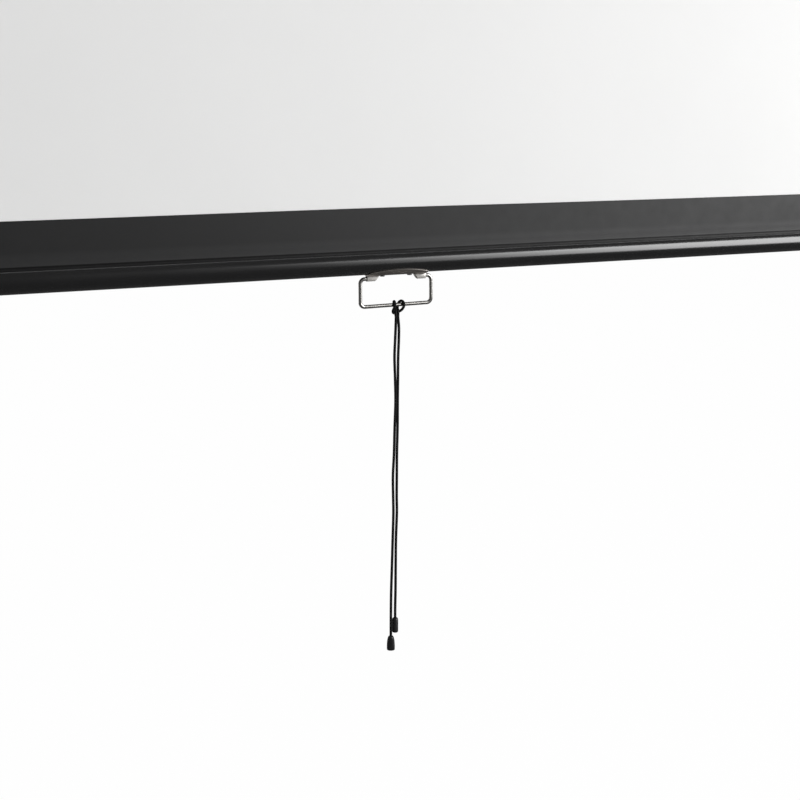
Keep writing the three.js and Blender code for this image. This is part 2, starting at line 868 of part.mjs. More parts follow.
// A round quarter bend about a centre
class QuarterTurn extends THREE.Curve {
  constructor(from, to, centre) {
    super();
    Object.assign(this, { from, to, centre });
  }

  getPoint(t, target = new THREE.Vector3()) {
    const angle = (Math.PI / 2) * t;
    return target.copy(this.centre)
      .addScaledVector(this.from.clone().sub(this.centre), Math.cos(angle))
      .addScaledVector(this.to.clone().sub(this.centre), Math.sin(angle));
  }
}

function bail() {
  return tube(bailCurve(), bailWire / 2, wireSides, bailSteps);
}

// Pull cord, drawn about the middle of the bail's foot

function curveThrough(points) {
  const route = points.map(([x, y, z]) => new THREE.Vector3(x, y, z));
  return new THREE.CatmullRomCurve3(route, false, 'centripetal');
}

// One turn of cord over the wire, from the knot up the front, over the top and down the back
function wrap(x, radius) {
  const half = radius * Math.SQRT1_2;
  const beside = x + (knotPlace - x) * wrapLeanShare;
  const between = (x + knotPlace) / 2;
  const front = [
    [knotPlace, -radius / 3, -knotDrop], [between, -radius, -knotDrop / 2],
    [beside, -radius, 0], [x, -half, half],
  ];
  const back = front.map(([a, b, c]) => [a, -b, c]).reverse();
  return tube(curveThrough([...front, [x, 0, radius], ...back]), cordDiameter / 2, cordSides, wrapSteps);
}

function cordHitch() {
  const tight = bailWire / 2 + wrapClearance + cordDiameter / 2;
  const loose = bailWire / 2 + looseWrapClearance + cordDiameter / 2;
  const knot = solid(new THREE.SphereGeometry(1, coarseSides, wireSides)
    .scale(knotWidth / 2, knotDepth / 2, knotHeight / 2)
    .translate(knotPlace, 0, -knotDrop));
  return joined(
    wrap(tightWrapPlace, tight), wrap(looseWrapPlace, loose), knot, root(longStrand), root(shortStrand),
  );
}

// The cord between the knot and the top of a strand
function root(points) {
  const [x, y, z] = points[0];
  const route = curveThrough([[knotPlace, 0, -knotDrop], [x, y, (z - knotDrop) / 2], [x, y, z + fit]]);
  return tube(route, cordDiameter / 2, cordSides, wrapSteps);
}

// The two strands, from the knot down, as they hang: x, y and z from the middle of the bail's foot
const longStrand = [
  [-0.3, -1, -13.5], [-0.4, -1, -25.1], [-1.3, -1.1, -39.2], [-2.1, -1.1, -56], [-1.4, -1.2, -79.8],
  [-0.8, -1.2, -103.7], [-1.8, -1.2, -134.5], [-2.7, -1.3, -165.4], [-3.9, -1.3, -189.2],
  [-3.6, -1.4, -213.1], [-3.3, -1.4, -229], [-4.2, -1.5, -260.8], [-5.1, -1.5, -291.6],
  [-6.1, -1.6, -322.5], [-6.4, -1.6, -353.3], [-6.4, -1.6, -371.2],
];
const shortStrand = [
  [3, 0.5, -13.5], [3.9, 0.6, -25.1], [3.9, 0.6, -39.2], [3.3, 0.6, -56], [3.1, 0.6, -79.8],
  [2.8, 0.6, -103.7], [2.7, 0.6, -134.5], [2, 0.6, -165.4], [1.9, 0.6, -189.2], [1.8, 0.6, -213.1],
  [2.1, 0.6, -229], [1, 0.6, -260.8], [0.7, 0.6, -291.6], [0.5, 0.6, -322.5], [0.2, 0.6, -336.4],
  [0.1, 0.6, -351.6],
];

function strand(points) {
  return tube(curveThrough(points), cordDiameter / 2, cordSides, strandSteps);
}

// A bell that the cord's end is knotted into, open below, hanging from the strand's last point
function cordEnd(points) {
  const [x, y, z] = points[points.length - 1];
  const low = -cordEndLength;
  const body = revolved([
    [0, low + cordEndBoreDepth], [cordEndBore, low + cordEndBoreDepth], [cordEndBore, low],
    [cordEndRadius - cordEndLip, low], [cordEndRadius, low + cordEndLip],
    [cordEndRadius, low + cordEndLength / 3], [cordEndTop + cordEndLip, -cordEndLength / 6],
    [cordEndTop, 0], [0, 0],
  ], coarseSides);
  return moved(body, x, y, z - fit);
}

// Assembly

const caseGroup = groupAt(
  0, 0, 0,
  piece('case_shell', casePaint, caseShell()),
  piece('end_cap_left', capPlastic, leftEndCap()),
  piece('end_cap_right', capPlastic, rightEndCap()),
  piece('wall_bracket_left', bracketPaint, wallBracket(-1)),
  piece('wall_bracket_right', bracketPaint, wallBracket(1)),
  piece('screen_fabric', whiteFabric, fabricSheet()),
);
for (const [side, hand] of [[-1, 'left'], [1, 'right']]) {
  caseScrewPlaces().forEach((place) => {
    const height = place.up > 0 ? 'top' : 'bottom';
    caseGroup.add(piece(`case_screw_${hand}_${height}`, zincSteel, caseScrew(side, place)));
  });
  bracketScrewPlaces().forEach((place) => {
    const height = place[1] > 0 ? 'upper' : 'lower';
    caseGroup.add(piece(`bracket_screw_${hand}_${height}`, zincSteel, bracketScrew(side, place)));
  });
}

const rollerGroup = groupAt(
  0, -rollerDepth, 0,
  piece('roller_tube', aluminium, rollerTube()),
  piece('roller_spline', nylon, rollerSpline()),
  piece('wound_fabric', whiteFabric, woundFabric()),
  piece('ratchet_head', nylon, ratchetHead()),
  piece('idler_plug', nylon, idlerPlug()),
  piece('idler_pin', zincSteel, idlerPin()),
  piece('idler_bush', nylon, idlerBush()),
  piece('pawl_upper', springSteel, pawl(0)),
  piece('pawl_lower', springSteel, pawl(1)),
  piece('pawl_pin_upper', zincSteel, pawlPin(0)),
  piece('pawl_pin_lower', zincSteel, pawlPin(1)),
  piece('ratchet_wheel', springSteel, ratchetWheel()),
  piece('spring_rod', springSteel, springRod()),
  piece('torsion_spring', springSteel, torsionSpring()),
  piece('spring_anchor', nylon, springAnchor()),
  piece('spear_socket', zincSteel, socketPlate()),
);

const cordGroup = groupAt(
  0, 0, -bailDrop,
  piece('cord_hitch', blackCord, cordHitch()),
  piece('cord_strand_long', blackCord, strand(longStrand)),
  piece('cord_strand_short', blackCord, strand(shortStrand)),
  piece('cord_end_long', cordPlastic, cordEnd(longStrand)),
  piece('cord_end_short', cordPlastic, cordEnd(shortStrand)),
);

const bailGroup = groupAt(0, 0, -pinDrop, piece('handle_bail', platedSteel, bail()), cordGroup);

const barGroup = groupAt(
  0, -fabricDepth, barHeight,
  piece('bottom_bar', barPaint, bottomBar()),
  piece('bar_cap_left', capPlastic, barCap(-1)),
  piece('bar_cap_right', capPlastic, barCap(1)),
  piece('hem_spline', nylon, hemSpline()),
  piece('border_strip', blackFabric, borderStrip()),
  piece('handle_saddle', platedSteel, saddle()),
  piece('saddle_screw_left', zincSteel, saddleScrew(saddleScrewPlaces()[0])),
  piece('saddle_screw_right', zincSteel, saddleScrew(saddleScrewPlaces()[1])),
  bailGroup,
);

export default groupAt(0, 0, 0, caseGroup, rollerGroup, barGroup);
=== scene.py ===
"""A pull-down wall projection screen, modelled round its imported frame."""

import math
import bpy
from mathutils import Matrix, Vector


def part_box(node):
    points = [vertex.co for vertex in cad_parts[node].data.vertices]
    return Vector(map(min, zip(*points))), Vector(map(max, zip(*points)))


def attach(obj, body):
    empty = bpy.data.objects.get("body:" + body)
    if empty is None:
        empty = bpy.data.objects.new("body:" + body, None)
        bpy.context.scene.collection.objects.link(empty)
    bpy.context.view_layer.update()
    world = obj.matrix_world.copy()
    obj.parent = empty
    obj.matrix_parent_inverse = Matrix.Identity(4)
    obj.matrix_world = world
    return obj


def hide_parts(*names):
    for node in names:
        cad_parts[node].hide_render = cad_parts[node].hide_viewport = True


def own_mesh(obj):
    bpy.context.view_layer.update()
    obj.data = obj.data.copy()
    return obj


bl_info = {
    "name": "Pull-down Projection Screen",
    "version": (1, 0, 0),
    "blender": (4, 5, 0),
    "location": "View3D > Sidebar > Screen",
    "description": "Models a pull-down wall projection screen with its bar, handle and pull cord",
    "category": "Add Mesh",
}

import bmesh
import bpy
from bpy.props import FloatProperty, FloatVectorProperty, PointerProperty
from bpy.types import NodeSocket, Operator, Panel, PropertyGroup
from mathutils import Matrix, Vector

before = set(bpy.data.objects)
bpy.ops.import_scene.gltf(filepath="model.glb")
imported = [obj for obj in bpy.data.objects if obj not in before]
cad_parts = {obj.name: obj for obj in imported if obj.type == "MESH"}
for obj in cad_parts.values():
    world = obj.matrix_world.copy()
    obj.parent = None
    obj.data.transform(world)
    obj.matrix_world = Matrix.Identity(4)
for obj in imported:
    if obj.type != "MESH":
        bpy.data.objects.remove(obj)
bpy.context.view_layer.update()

MM = 0.001
# How far a cutting tool reaches past what it cuts
THROUGH = 2 * MM
# Places nearer than this count as one
CLOSE = 0.01 * MM
# A face whose normal has at least this share along an axis looks along it
FACING = 0.9
SIDES = ((-1, "left"), (1, "right"))


def length(name, size_mm, description):
    """A length that the user may change, given in millimetres."""
    return FloatProperty(
        name=name, description=description, default=size_mm * MM, min=0.0,
        unit="LENGTH", precision=4,
    )


def colour(name, value, description):
    """A colour that the user may change."""
    return FloatVectorProperty(
        name=name, description=description, default=value, min=0.0, max=1.0,
        size=3, subtype="COLOR",
    )


class FabricSizes(PropertyGroup):
    """Sizes of the projection fabric."""

    width: length("Width", 1670, "Width of the fabric")
    drop: length("Drop", 1041, "From the roller's axis down to the lower border")
    side_border: length("Side border", 38, "Black border beside the view")
    top_border: length("Top border", 144, "Black from the roller's axis down to the view")
    thickness: length("Thickness", 0.4, "Thickness of the fabric")
    wave: length("Wave", 0.5, "How far the hanging fabric waves")
    border_lap: length("Border lap", 0.8, "How far the lower border laps over the sheet")


class CaseSizes(PropertyGroup):
    """Sizes of the case, its caps and its wall brackets."""

    corner: length("Corner", 5, "Radius of the case's long corners")
    wall: length("Wall", 1.2, "Steel of the case")
    slot_width: length("Slot width", 14, "Slot that the fabric leaves by")
    slot_lip: length("Slot lip", 5, "Height of the slot's turned-up edges")
    cap_plate: length("Cap plate", 4, "Thickness of an end cap's plate")
    cap_plug: length("Cap plug", 14, "How far an end cap reaches into the case")
    cap_wall: length("Cap wall", 2.5, "Wall of an end cap's plug")
    bracket_sheet: length("Bracket sheet", 2, "Steel of a wall bracket")
    flange_relief: length("Flange relief", 6, "Gap between a bracket's flanges at their corner")
    keyhole_head: length("Keyhole head", 9, "Round end of a keyhole")
    keyhole_neck: length("Keyhole neck", 5, "Narrow end of a keyhole")
    keyhole_rise: length("Keyhole rise", 9, "From a keyhole's head up to the end of its neck")
    ceiling_slot_length: length("Ceiling slot length", 14, "Length of the slot in a top flange")
    ceiling_slot_width: length("Ceiling slot width", 5.5, "Width of the slot in a top flange")
    fit: length("Fit", 0.3, "Clearance between fixed pieces")


class BarSizes(PropertyGroup):
    """Sizes of the bottom bar."""

    radius: length("Radius", 12.5, "Radius of the bar")
    wall: length("Wall", 1.5, "Wall of the bar's tube")
    groove_radius: length("Groove radius", 2.7, "Groove that holds the fabric's hem")
    groove_wall: length("Groove wall", 1.2, "Wall round the groove")
    groove_mouth: length("Groove mouth", 1.8, "Opening of the groove")
    cap_edge: length("Cap edge", 1.2, "Rounding of the end caps")
    cap_plug: length("Cap plug", 12, "How far an end cap reaches into the bar")


class HandleSizes(PropertyGroup):
    """Sizes of the saddle and the bail."""

    saddle_length: length("Saddle length", 70.8, "Length of the saddle along the bar")
    saddle_sheet: length("Saddle sheet", 1.1, "Steel of the saddle")
    saddle_middle: length("Saddle middle", 23.6, "Width of the saddle in the middle")
    saddle_end: length("Saddle end", 18.6, "Width of the saddle at its ends")
    saddle_round: length("Saddle rounding", 3, "Rounding of the saddle's ends")
    pin_drop: length("Pin drop", 16.5, "From the bar's middle down to the bail's pins")
    knuckle_radius: length("Knuckle radius", 3.1, "Outer radius of a rolled knuckle")
    knuckle_length: length("Knuckle length", 14, "Length of a rolled knuckle")
    knuckle_slant: length("Knuckle slant", 4.5, "How far a knuckle's inner side is cut back")
    wire: length("Wire", 4, "Diameter of the bail's wire")
    bail_width: length("Bail width", 89.8, "Width of the bail over its arms")
    bail_drop: length("Bail drop", 29.8, "From the pins down to the bail's foot")
    shoulder_bend: length("Shoulder bend", 5, "Bend between a pin and an arm")
    foot_bend: length("Foot bend", 5.2, "Bend between an arm and the foot")
    pin_grip: length("Pin grip", 9, "How far a pin reaches into its knuckle")


class CordSizes(PropertyGroup):
    """Sizes of the pull cord and its moulded ends."""

    diameter: length("Diameter", 3, "Diameter of the cord")
    end_length: length("End length", 16.6, "Length of a moulded cord end")
    end_radius: length("End radius", 4.4, "Radius of a moulded cord end at its foot")
    end_bore: length("End bore", 2.5, "Radius of the bore under a cord end")
    end_gap: length("End gap", 0.3, "Between the cord's last point and its end")


class FinishColours(PropertyGroup):
    """Colours of the finishes."""

    fabric: colour("Fabric", (0.86, 0.86, 0.855), "White of the projection fabric")
    border: colour("Border", (0.0105, 0.0105, 0.011), "Black of the borders and the fabric's back")
    case_paint: colour("Case paint", (0.02, 0.02, 0.022), "Powder coat of the case")
    bracket_paint: colour("Bracket paint", (0.025, 0.025, 0.027), "Paint of the wall brackets")
    bar_paint: colour("Bar paint", (0.006, 0.006, 0.0063), "Satin black of the bottom bar")
    plastic: colour("Plastic", (0.018, 0.018, 0.02), "Black plastic of the caps")
    plated: colour("Plated wire", (0.62, 0.605, 0.58), "Nickel plate of the bail")
    satin: colour("Plated sheet", (0.56, 0.52, 0.485), "Satin nickel of the saddle")
    # Painted reflection: a lighter nickel that the knuckles get in place of the white that they
    # mirror
    painted_knuckle_light: colour("Rolled knuckles", (0.68, 0.66, 0.63), "Lighter nickel of the saddle's knuckles")
    zinc: colour("Zinc", (0.56, 0.57, 0.58), "Zinc plate of the screws")
    spring_steel: colour("Spring steel", (0.2, 0.205, 0.215), "Oiled steel of the spring and ratchet")
    aluminium: colour("Aluminium", (0.6, 0.61, 0.63), "Drawn tube of the roller")
    nylon: colour("Nylon", (0.72, 0.7, 0.63), "Plugs, bush and spline rods")
    cord: colour("Cord", (0.006, 0.006, 0.0062), "Braided pull cord")
    cord_plastic: colour("Cord ends", (0.012, 0.012, 0.013), "Moulded cord ends")


class ScreenSettings(PropertyGroup):
    """Everything that the user may set."""

    fabric: PointerProperty(type=FabricSizes)
    case: PointerProperty(type=CaseSizes)
    bar: PointerProperty(type=BarSizes)
    handle: PointerProperty(type=HandleSizes)
    cord: PointerProperty(type=CordSizes)
    colours: PointerProperty(type=FinishColours)


def settings():
    return bpy.context.scene.projection_screen


# Places in the frame


def middle_of(node):
    low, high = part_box(node)
    return (low + high) / 2


def end_of(node, side):
    """Where a node's box ends, on its left or on its right."""
    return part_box(node)[side > 0].x


def bar_middle():
    """The middle of the bottom bar."""
    return middle_of("bottom_bar")


def pin_middle():
    """The middle of the bail's pin axis."""
    return bar_middle() - Vector((0, 0, settings().handle.pin_drop))


def foot_middle():
    """The middle of the bail's foot, where the cord hangs."""
    return pin_middle() - Vector((0, 0, settings().handle.bail_drop))


def direction(azimuth, elevation):
    """A way to look, from two angles in degrees: to the right of straight at the wall, and up."""
    azimuth, elevation = math.radians(azimuth), math.radians(elevation)
    level = math.cos(elevation)
    return Vector((math.sin(azimuth) * level, math.cos(azimuth) * level, math.sin(elevation)))


# Work in the viewport, done in code


def deselect():
    """Leaves edit mode, with no object selected."""
    if bpy.context.object and bpy.context.object.mode != "OBJECT":
        bpy.ops.object.mode_set(mode="OBJECT")
    bpy.ops.object.select_all(action="DESELECT")


def only(obj):
    """Leaves one object selected and active, in object mode."""
    deselect()
    obj.select_set(True)
    bpy.context.view_layer.objects.active = obj


def select_all(action="SELECT"):
    bpy.ops.mesh.select_all(action=action)


def edit(obj, kind="FACE"):
    """Opens one object in edit mode with nothing selected."""
    only(obj)
    bpy.ops.object.mode_set(mode="EDIT")
    bpy.ops.mesh.select_mode(type=kind)
    select_all("DESELECT")


def leave(obj):
    bpy.ops.object.mode_set(mode="OBJECT")
    return obj


def choose(obj, kind, test):
    """Selects the faces, edges or vertices that pass a test of themselves and their middle."""
    bpy.ops.mesh.select_mode(type=kind)
    select_all("DESELECT")
    bm = bmesh.from_edit_mesh(obj.data)
    for part in {"VERT": bm.verts, "EDGE": bm.edges, "FACE": bm.faces}[kind]:
        points = [part] if kind == "VERT" else part.verts
        if test(part, sum((point.co for point in points), Vector()) / len(points)):
            part.select_set(True)
    bmesh.update_edit_mesh(obj.data)


def faces_at(x):
    """A test for the faces that look along X at a place."""
    return lambda part, spot: abs(spot.x - x) < CLOSE and abs(part.normal.x) > FACING


def run_x(line):
    """How far an edge runs along X."""
    return abs(line.verts[0].co.x - line.verts[1].co.x)


def extrude(offset):
    bpy.ops.mesh.extrude_region_move(TRANSFORM_OT_translate={"value": tuple(offset)})


def widen(factor, centre):
    """Scales what is selected about a point."""
    bpy.ops.transform.resize(value=factor, center_override=tuple(centre))


def weld(obj, threshold, fill=False):
    """Joins doubled points, fills open ends if asked to, and turns all faces outward."""
    select_all()
    bpy.ops.mesh.remove_doubles(threshold=threshold)
    if fill:
        select_all()
        bpy.ops.mesh.fill_holes(sides=0)
    select_all()
    bpy.ops.mesh.normals_make_consistent(inside=False)
    return leave(obj)


def apply_place(obj):
    """Moves an object's place into its mesh."""
    only(obj)
    bpy.ops.object.transform_apply(location=True, rotation=True, scale=True)
    return obj


def modify(obj, kind, **values):
    """Adds a modifier and applies it."""
    only(obj)
    modifier = obj.modifiers.new(kind.title(), kind)
    for name, value in values.items():
        setattr(modifier, name, value)
    bpy.ops.object.modifier_apply(modifier=modifier.name)
    return obj


def soften(obj, width, angle=50):
    """Rounds the sharp edges of a piece."""
    return modify(
        obj, "BEVEL", width=width, segments=2, limit_method="ANGLE",
        angle_limit=math.radians(angle), harden_normals=False, use_clamp_overlap=True,
    )


def thicken(obj, thickness, offset):
    """Makes a bent sheet of a surface, on its outer (1), its inner (-1) or both sides (0)."""
    return modify(obj, "SOLIDIFY", thickness=thickness, offset=offset, use_even_offset=True)


def combine(obj, operation, tools):
    """Joins tools to a piece or cuts them away, one by one, and removes them."""
    for tool in tools:
        modify(obj, "BOOLEAN", object=tool, operation=operation, solver="MANIFOLD")
        bpy.data.objects.remove(tool)
    return obj


def cut(obj, *tools):
    return combine(obj, "DIFFERENCE", tools)


def join(obj, *tools):
    return combine(obj, "UNION", tools)


def block(corner, opposite):
    """A cube drawn out between two opposite corners."""
    deselect()
    corner, opposite = Vector(corner), Vector(opposite)
    bpy.ops.mesh.primitive_cube_add(size=1.0, location=(corner + opposite) / 2)
    obj = bpy.context.object
    obj.scale = [abs(part) for part in opposite - corner]
    return apply_place(obj)


def rounded_box(corner, opposite, radius):
    """A block whose four edges along X are rounded."""
    box = block(corner, opposite)
    edit(box)
    choose(box, "EDGE", lambda part, spot: run_x(part) > abs(opposite[0] - corner[0]) / 2)
    bpy.ops.mesh.bevel(offset=radius, segments=6, affect="EDGES", profile=0.5)
    return leave(box)


AXES = "XYZ"
TURN_TO = {"X": (0, math.pi / 2, 0), "Y": (-math.pi / 2, 0, 0), "Z": (0, 0, 0)}
TURNED_WELD = 0.04 * MM


def rod(axis, radius, at, span, sides):
    """A cylinder along one axis through a place, between two coordinates on that axis."""
    deselect()
    start, end = Vector(at), Vector(at)
    start[AXES.index(axis)], end[AXES.index(axis)] = span
    bpy.ops.mesh.primitive_cylinder_add(
        vertices=sides, radius=radius, depth=(end - start).length, end_fill_type="NGON",
        location=(start + end) / 2, rotation=TURN_TO[axis],
    )
    return apply_place(bpy.context.object)


def grid(columns, rows, size=1.0, **where):
    """A flat grid of faces with its own map."""
    deselect()
    bpy.ops.mesh.primitive_grid_add(
        x_subdivisions=columns, y_subdivisions=rows, size=size, **where
    )
    return bpy.context.object


def upright(columns, rows, low, high):
    """A grid that stands between two corners and faces the room."""
    low, high = Vector(low), Vector(high)
    sheet = grid(columns, rows, location=(low + high) / 2, rotation=(math.pi / 2, 0, 0))
    sheet.scale = (high.x - low.x, high.z - low.z, 1.0)
    return apply_place(sheet)


def turned(stations, sides):
    """A ring drawn out station by station, up the Z axis: radius and height of each."""
    deselect()
    (radius, height), *others = [(max(radius, CLOSE), height) for radius, height in stations]
    bpy.ops.mesh.primitive_circle_add(vertices=sides, radius=radius, location=(0, 0, height))
    obj = apply_place(bpy.context.object)
    edit(obj, "EDGE")
    select_all()
    for next_radius, next_height in others:
        extrude((0, 0, next_height - height))
        share = next_radius / radius
        widen((share, share, 1), (0, 0, next_height))
        radius, height = next_radius, next_height
    return weld(obj, TURNED_WELD, fill=True)


def place(obj, at, turn=(0, 0, 0)):
    """Turns a finished mesh about the origin and moves it to its place."""
    obj.rotation_euler = turn
    obj.location = at
    return apply_place(obj)


def copy_of(obj):
    """A copy with its own mesh."""
    made = obj.copy()
    made.data = obj.data.copy()
    bpy.context.scene.collection.objects.link(made)
    return made


def dress(obj, looks):
    """Fills a piece's material slots with finishes, given by name."""
    while len(obj.data.materials) < len(looks):
        obj.data.materials.append(None)
    for index, look in enumerate(looks):
        obj.data.materials[index] = finish(look)


def finished(obj, name, body, slot, node, looks=(), angle=40):
    """Names a piece, gives it its finish, hangs it on its body and hides the imported node that it
    stands for.
    """
    apply_place(obj)
    bpy.ops.object.shade_smooth_by_angle(angle=math.radians(angle))
    obj.name = obj.data.name = name
    dress(obj, looks or [slot])
    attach(obj, body)
    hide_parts(node)


# Finishes


class Nodes:
    """The node tree of a material, a light or the world."""

    def __init__(self, owner):
        owner.use_nodes = True
        self.nodes = owner.node_tree.nodes
        self.links = owner.node_tree.links

    def feed(self, socket, value):
        """Links another node's output to a socket, or sets its value."""
        if isinstance(value, NodeSocket):
            self.links.new(value, socket)
        elif socket.type == "RGBA":
            socket.default_value = (*value, 1.0)
        else:
            socket.default_value = value

    def add(self, kind, inputs=None, **values):
        node = self.nodes.new("ShaderNode" + kind)
        for name, value in values.items():
            setattr(node, name, value)
        for name, value in (inputs or {}).items():
            self.feed(node.inputs[name], value)
        return node

    def math(self, operation, *values):
        return self.add("Math", dict(enumerate(values)), operation=operation).outputs["Value"]

    def parts(self, vector):
        """A vector's X, Y and Z."""
        return tuple(self.add("SeparateXYZ", {0: vector}).outputs)

    def spread(self, pattern, low=0.0, high=1.0, start=0.3, end=0.7, **values):
        """A pattern's values brought from one range, at first that of noise, into another."""
        return self.add("MapRange", {
            "Value": pattern, "From Min": start, "From Max": end, "To Min": low, "To Max": high,
        }, **values).outputs["Result"]

    def toward(self, factor, low, high):
        """A value that goes from low to high as the factor goes from 0 to 1."""
        return self.spread(factor, low, high, 0.0, 1.0)

    def blend(self, factor, first, second, mode="MIX"):
        """Two colours mixed."""
        inputs = {0: factor, 6: first, 7: second}
        return self.add("Mix", inputs, data_type="RGBA", blend_type=mode).outputs[2]


def scaled(tone, share):
    return tuple(min(1.0, part * share) for part in tone)


class Tree(Nodes):
    """The node tree of one material, with its principled shader."""

    def __init__(self, name, base, roughness, metallic=0.0, **sockets):
        self.material = bpy.data.materials.new(name)
        super().__init__(self.material)
        self.shader = self.nodes["Principled BSDF"]
        self.base = base
        self.bump = None
        self.set("Base Color", base)
        self.set("Roughness", roughness)
        self.set("Metallic", metallic)
        for socket, value in sockets.items():
            self.set(socket.replace("_", " ").title().replace("Ior", "IOR"), value)

    def set(self, socket, value):
        """Gives the shader a value or a pattern."""
        self.feed(self.shader.inputs[socket], value)

    def coordinates(self, scale=(1, 1, 1), source="Object"):
        vector = self.add("TexCoord").outputs[source]
        return self.add("Mapping", {"Vector": vector, "Scale": scale}).outputs["Vector"]

    def noise(self, scale, detail, stretch=(1, 1, 1), source="Object"):
        inputs = {"Vector": self.coordinates(stretch, source), "Scale": scale, "Detail": detail}
        return self.add("TexNoise", inputs).outputs["Fac"]

    def shades(self, pattern, low, high):
        """The base colour made darker and lighter by a pattern."""
        return self.blend(self.spread(pattern), scaled(self.base, low), scaled(self.base, high))

    def flecked(self, shade, amount, share):
        """A shade with some of the base colour, lighter or darker, laid over it."""
        return self.blend(amount, shade, scaled(self.base, share))

    def paint(self, shade):
        self.set("Base Color", shade)

    def gloss(self, pattern, low, high):
        self.set("Roughness", self.spread(pattern, low, high))

    def relief(self, height, distance, strength=1.0):
        """Adds one layer of bump, in metres, over the layers before it."""
        inputs = {"Height": height, "Distance": distance, "Strength": strength}
        if self.bump is not None:
            inputs["Normal"] = self.bump
        self.bump = self.add("Bump", inputs).outputs["Normal"]
        self.set("Normal", self.bump)

    def edges(self, radius):
        """1 along the edges of a piece and 0 on its faces."""
        rounded = self.add("Bevel", {"Radius": radius}, samples=6).outputs["Normal"]
        true = self.add("NewGeometry").outputs["True Normal"]
        same = self.add("VectorMath", {0: rounded, 1: true}, operation="DOT_PRODUCT")
        return self.spread(same.outputs["Value"], 1.0, 0.0, 0.55, 0.98)


def painted(name, base, roughness, peel, wear):
    """Paint on metal: orange peel, uneven gloss, dust and rubbed edges."""
    tree = Tree(name, base, roughness)
    dust = tree.spread(tree.noise(900.0, 2.0), 0.0, 0.5, 0.6, 0.75)
    shade = tree.flecked(tree.shades(tree.noise(9.0, 4.0), 0.86, 1.2), dust, 1.9)
    worn = tree.spread(tree.noise(60.0, 5.0), 0.0, wear, 0.45, 0.7)
    tree.paint(tree.flecked(shade, tree.math("MULTIPLY", tree.edges(0.8 * MM), worn), 6.0))
    tree.gloss(tree.noise(35.0, 4.0), roughness * 0.85, roughness * 1.15)
    tree.relief(tree.noise(peel, 2.0), 0.03 * MM)
    return tree


def bar_paint(name, base):
    """Satin black on a drawn tube, with faint lines along it."""
    tree = Tree(name, base, 0.2, specular_ior_level=0.75, coat_weight=0.6, coat_roughness=0.1)
    lines = tree.noise(260.0, 2.0, (0.012, 1, 1))
    shade = tree.shades(tree.noise(7.0, 4.0, (0.3, 1, 1)), 0.9, 1.15)
    tree.paint(tree.flecked(shade, tree.spread(lines, 0.0, 0.4), 1.3))
    tree.gloss(tree.noise(24.0, 5.0, (0.4, 1, 1)), 0.19, 0.25)
    tree.relief(lines, 0.004 * MM)
    tree.relief(tree.noise(1400.0, 2.0), 0.004 * MM)
    return tree


def moulded(name, base, roughness, grain, depth):
    """Moulded black plastic with a fine spark grain."""
    tree = Tree(name, base, roughness)
    tree.paint(tree.shades(tree.noise(40.0, 4.0), 0.8, 1.35))
    tree.gloss(tree.noise(300.0, 3.0), roughness * 0.85, roughness * 1.2)
    tree.relief(tree.noise(grain, 2.0), depth)
    return tree


def metal(name, base, roughness, streak, grain, stain, depth):
    """Bare or plated metal: drawn streaks, uneven gloss and a faint stain."""
    tree = Tree(name, base, roughness, 1.0)
    stained = tree.spread(tree.noise(55.0, 5.0), 0.0, 1.0, 0.35, 0.68)
    tree.paint(tree.flecked(base, stained, stain))
    streaks = tree.noise(grain, 3.0, streak)
    drawn, dulled = tree.spread(streaks, 0.8, 1.25), tree.toward(stained, 0.85, 1.2)
    uneven = tree.math("MULTIPLY", drawn, dulled)
    tree.set("Roughness", tree.math("MULTIPLY", uneven, roughness))
    tree.relief(streaks, depth)
    return tree


# Where below the bar the saddle's painted reflection, a lighter and less metallic nickel, starts and
# is full, and how metallic it is there
KNUCKLE_PAINTED_LIGHT = (1.6 * MM, 2.4 * MM)
KNUCKLE_METAL = 0.45


def satin_plated(name, base, *values):
    """Satin sheet, with a painted reflection on the rolled knuckles below the bar: a lighter, less
    metallic nickel.
    """
    tree = metal(name, base, *values)
    height = tree.parts(tree.coordinates())[2]
    start, full = (bar_middle().z - settings().bar.radius - drop for drop in KNUCKLE_PAINTED_LIGHT)
    rolled = tree.spread(height, 0.0, 1.0, start, full)
    tree.set("Metallic", tree.toward(rolled, 1.0, KNUCKLE_METAL))
    plain = tree.shader.inputs["Base Color"].links[0].from_socket
    # The knuckles below the bar take the lighter colour of the painted reflection
    tree.paint(tree.blend(rolled, plain, settings().colours.painted_knuckle_light))
    return tree


def nylon(name, base):
    """Unfilled moulded nylon, slightly clouded."""
    tree = Tree(name, base, 0.45, subsurface_weight=0.15, subsurface_scale=0.002)
    tree.paint(tree.shades(tree.noise(45.0, 4.0), 0.9, 1.05))
    tree.gloss(tree.noise(260.0, 3.0), 0.38, 0.55)
    tree.relief(tree.noise(1500.0, 2.0), 0.01 * MM)
    return tree


WEAVE_PITCH = 0.9 * MM


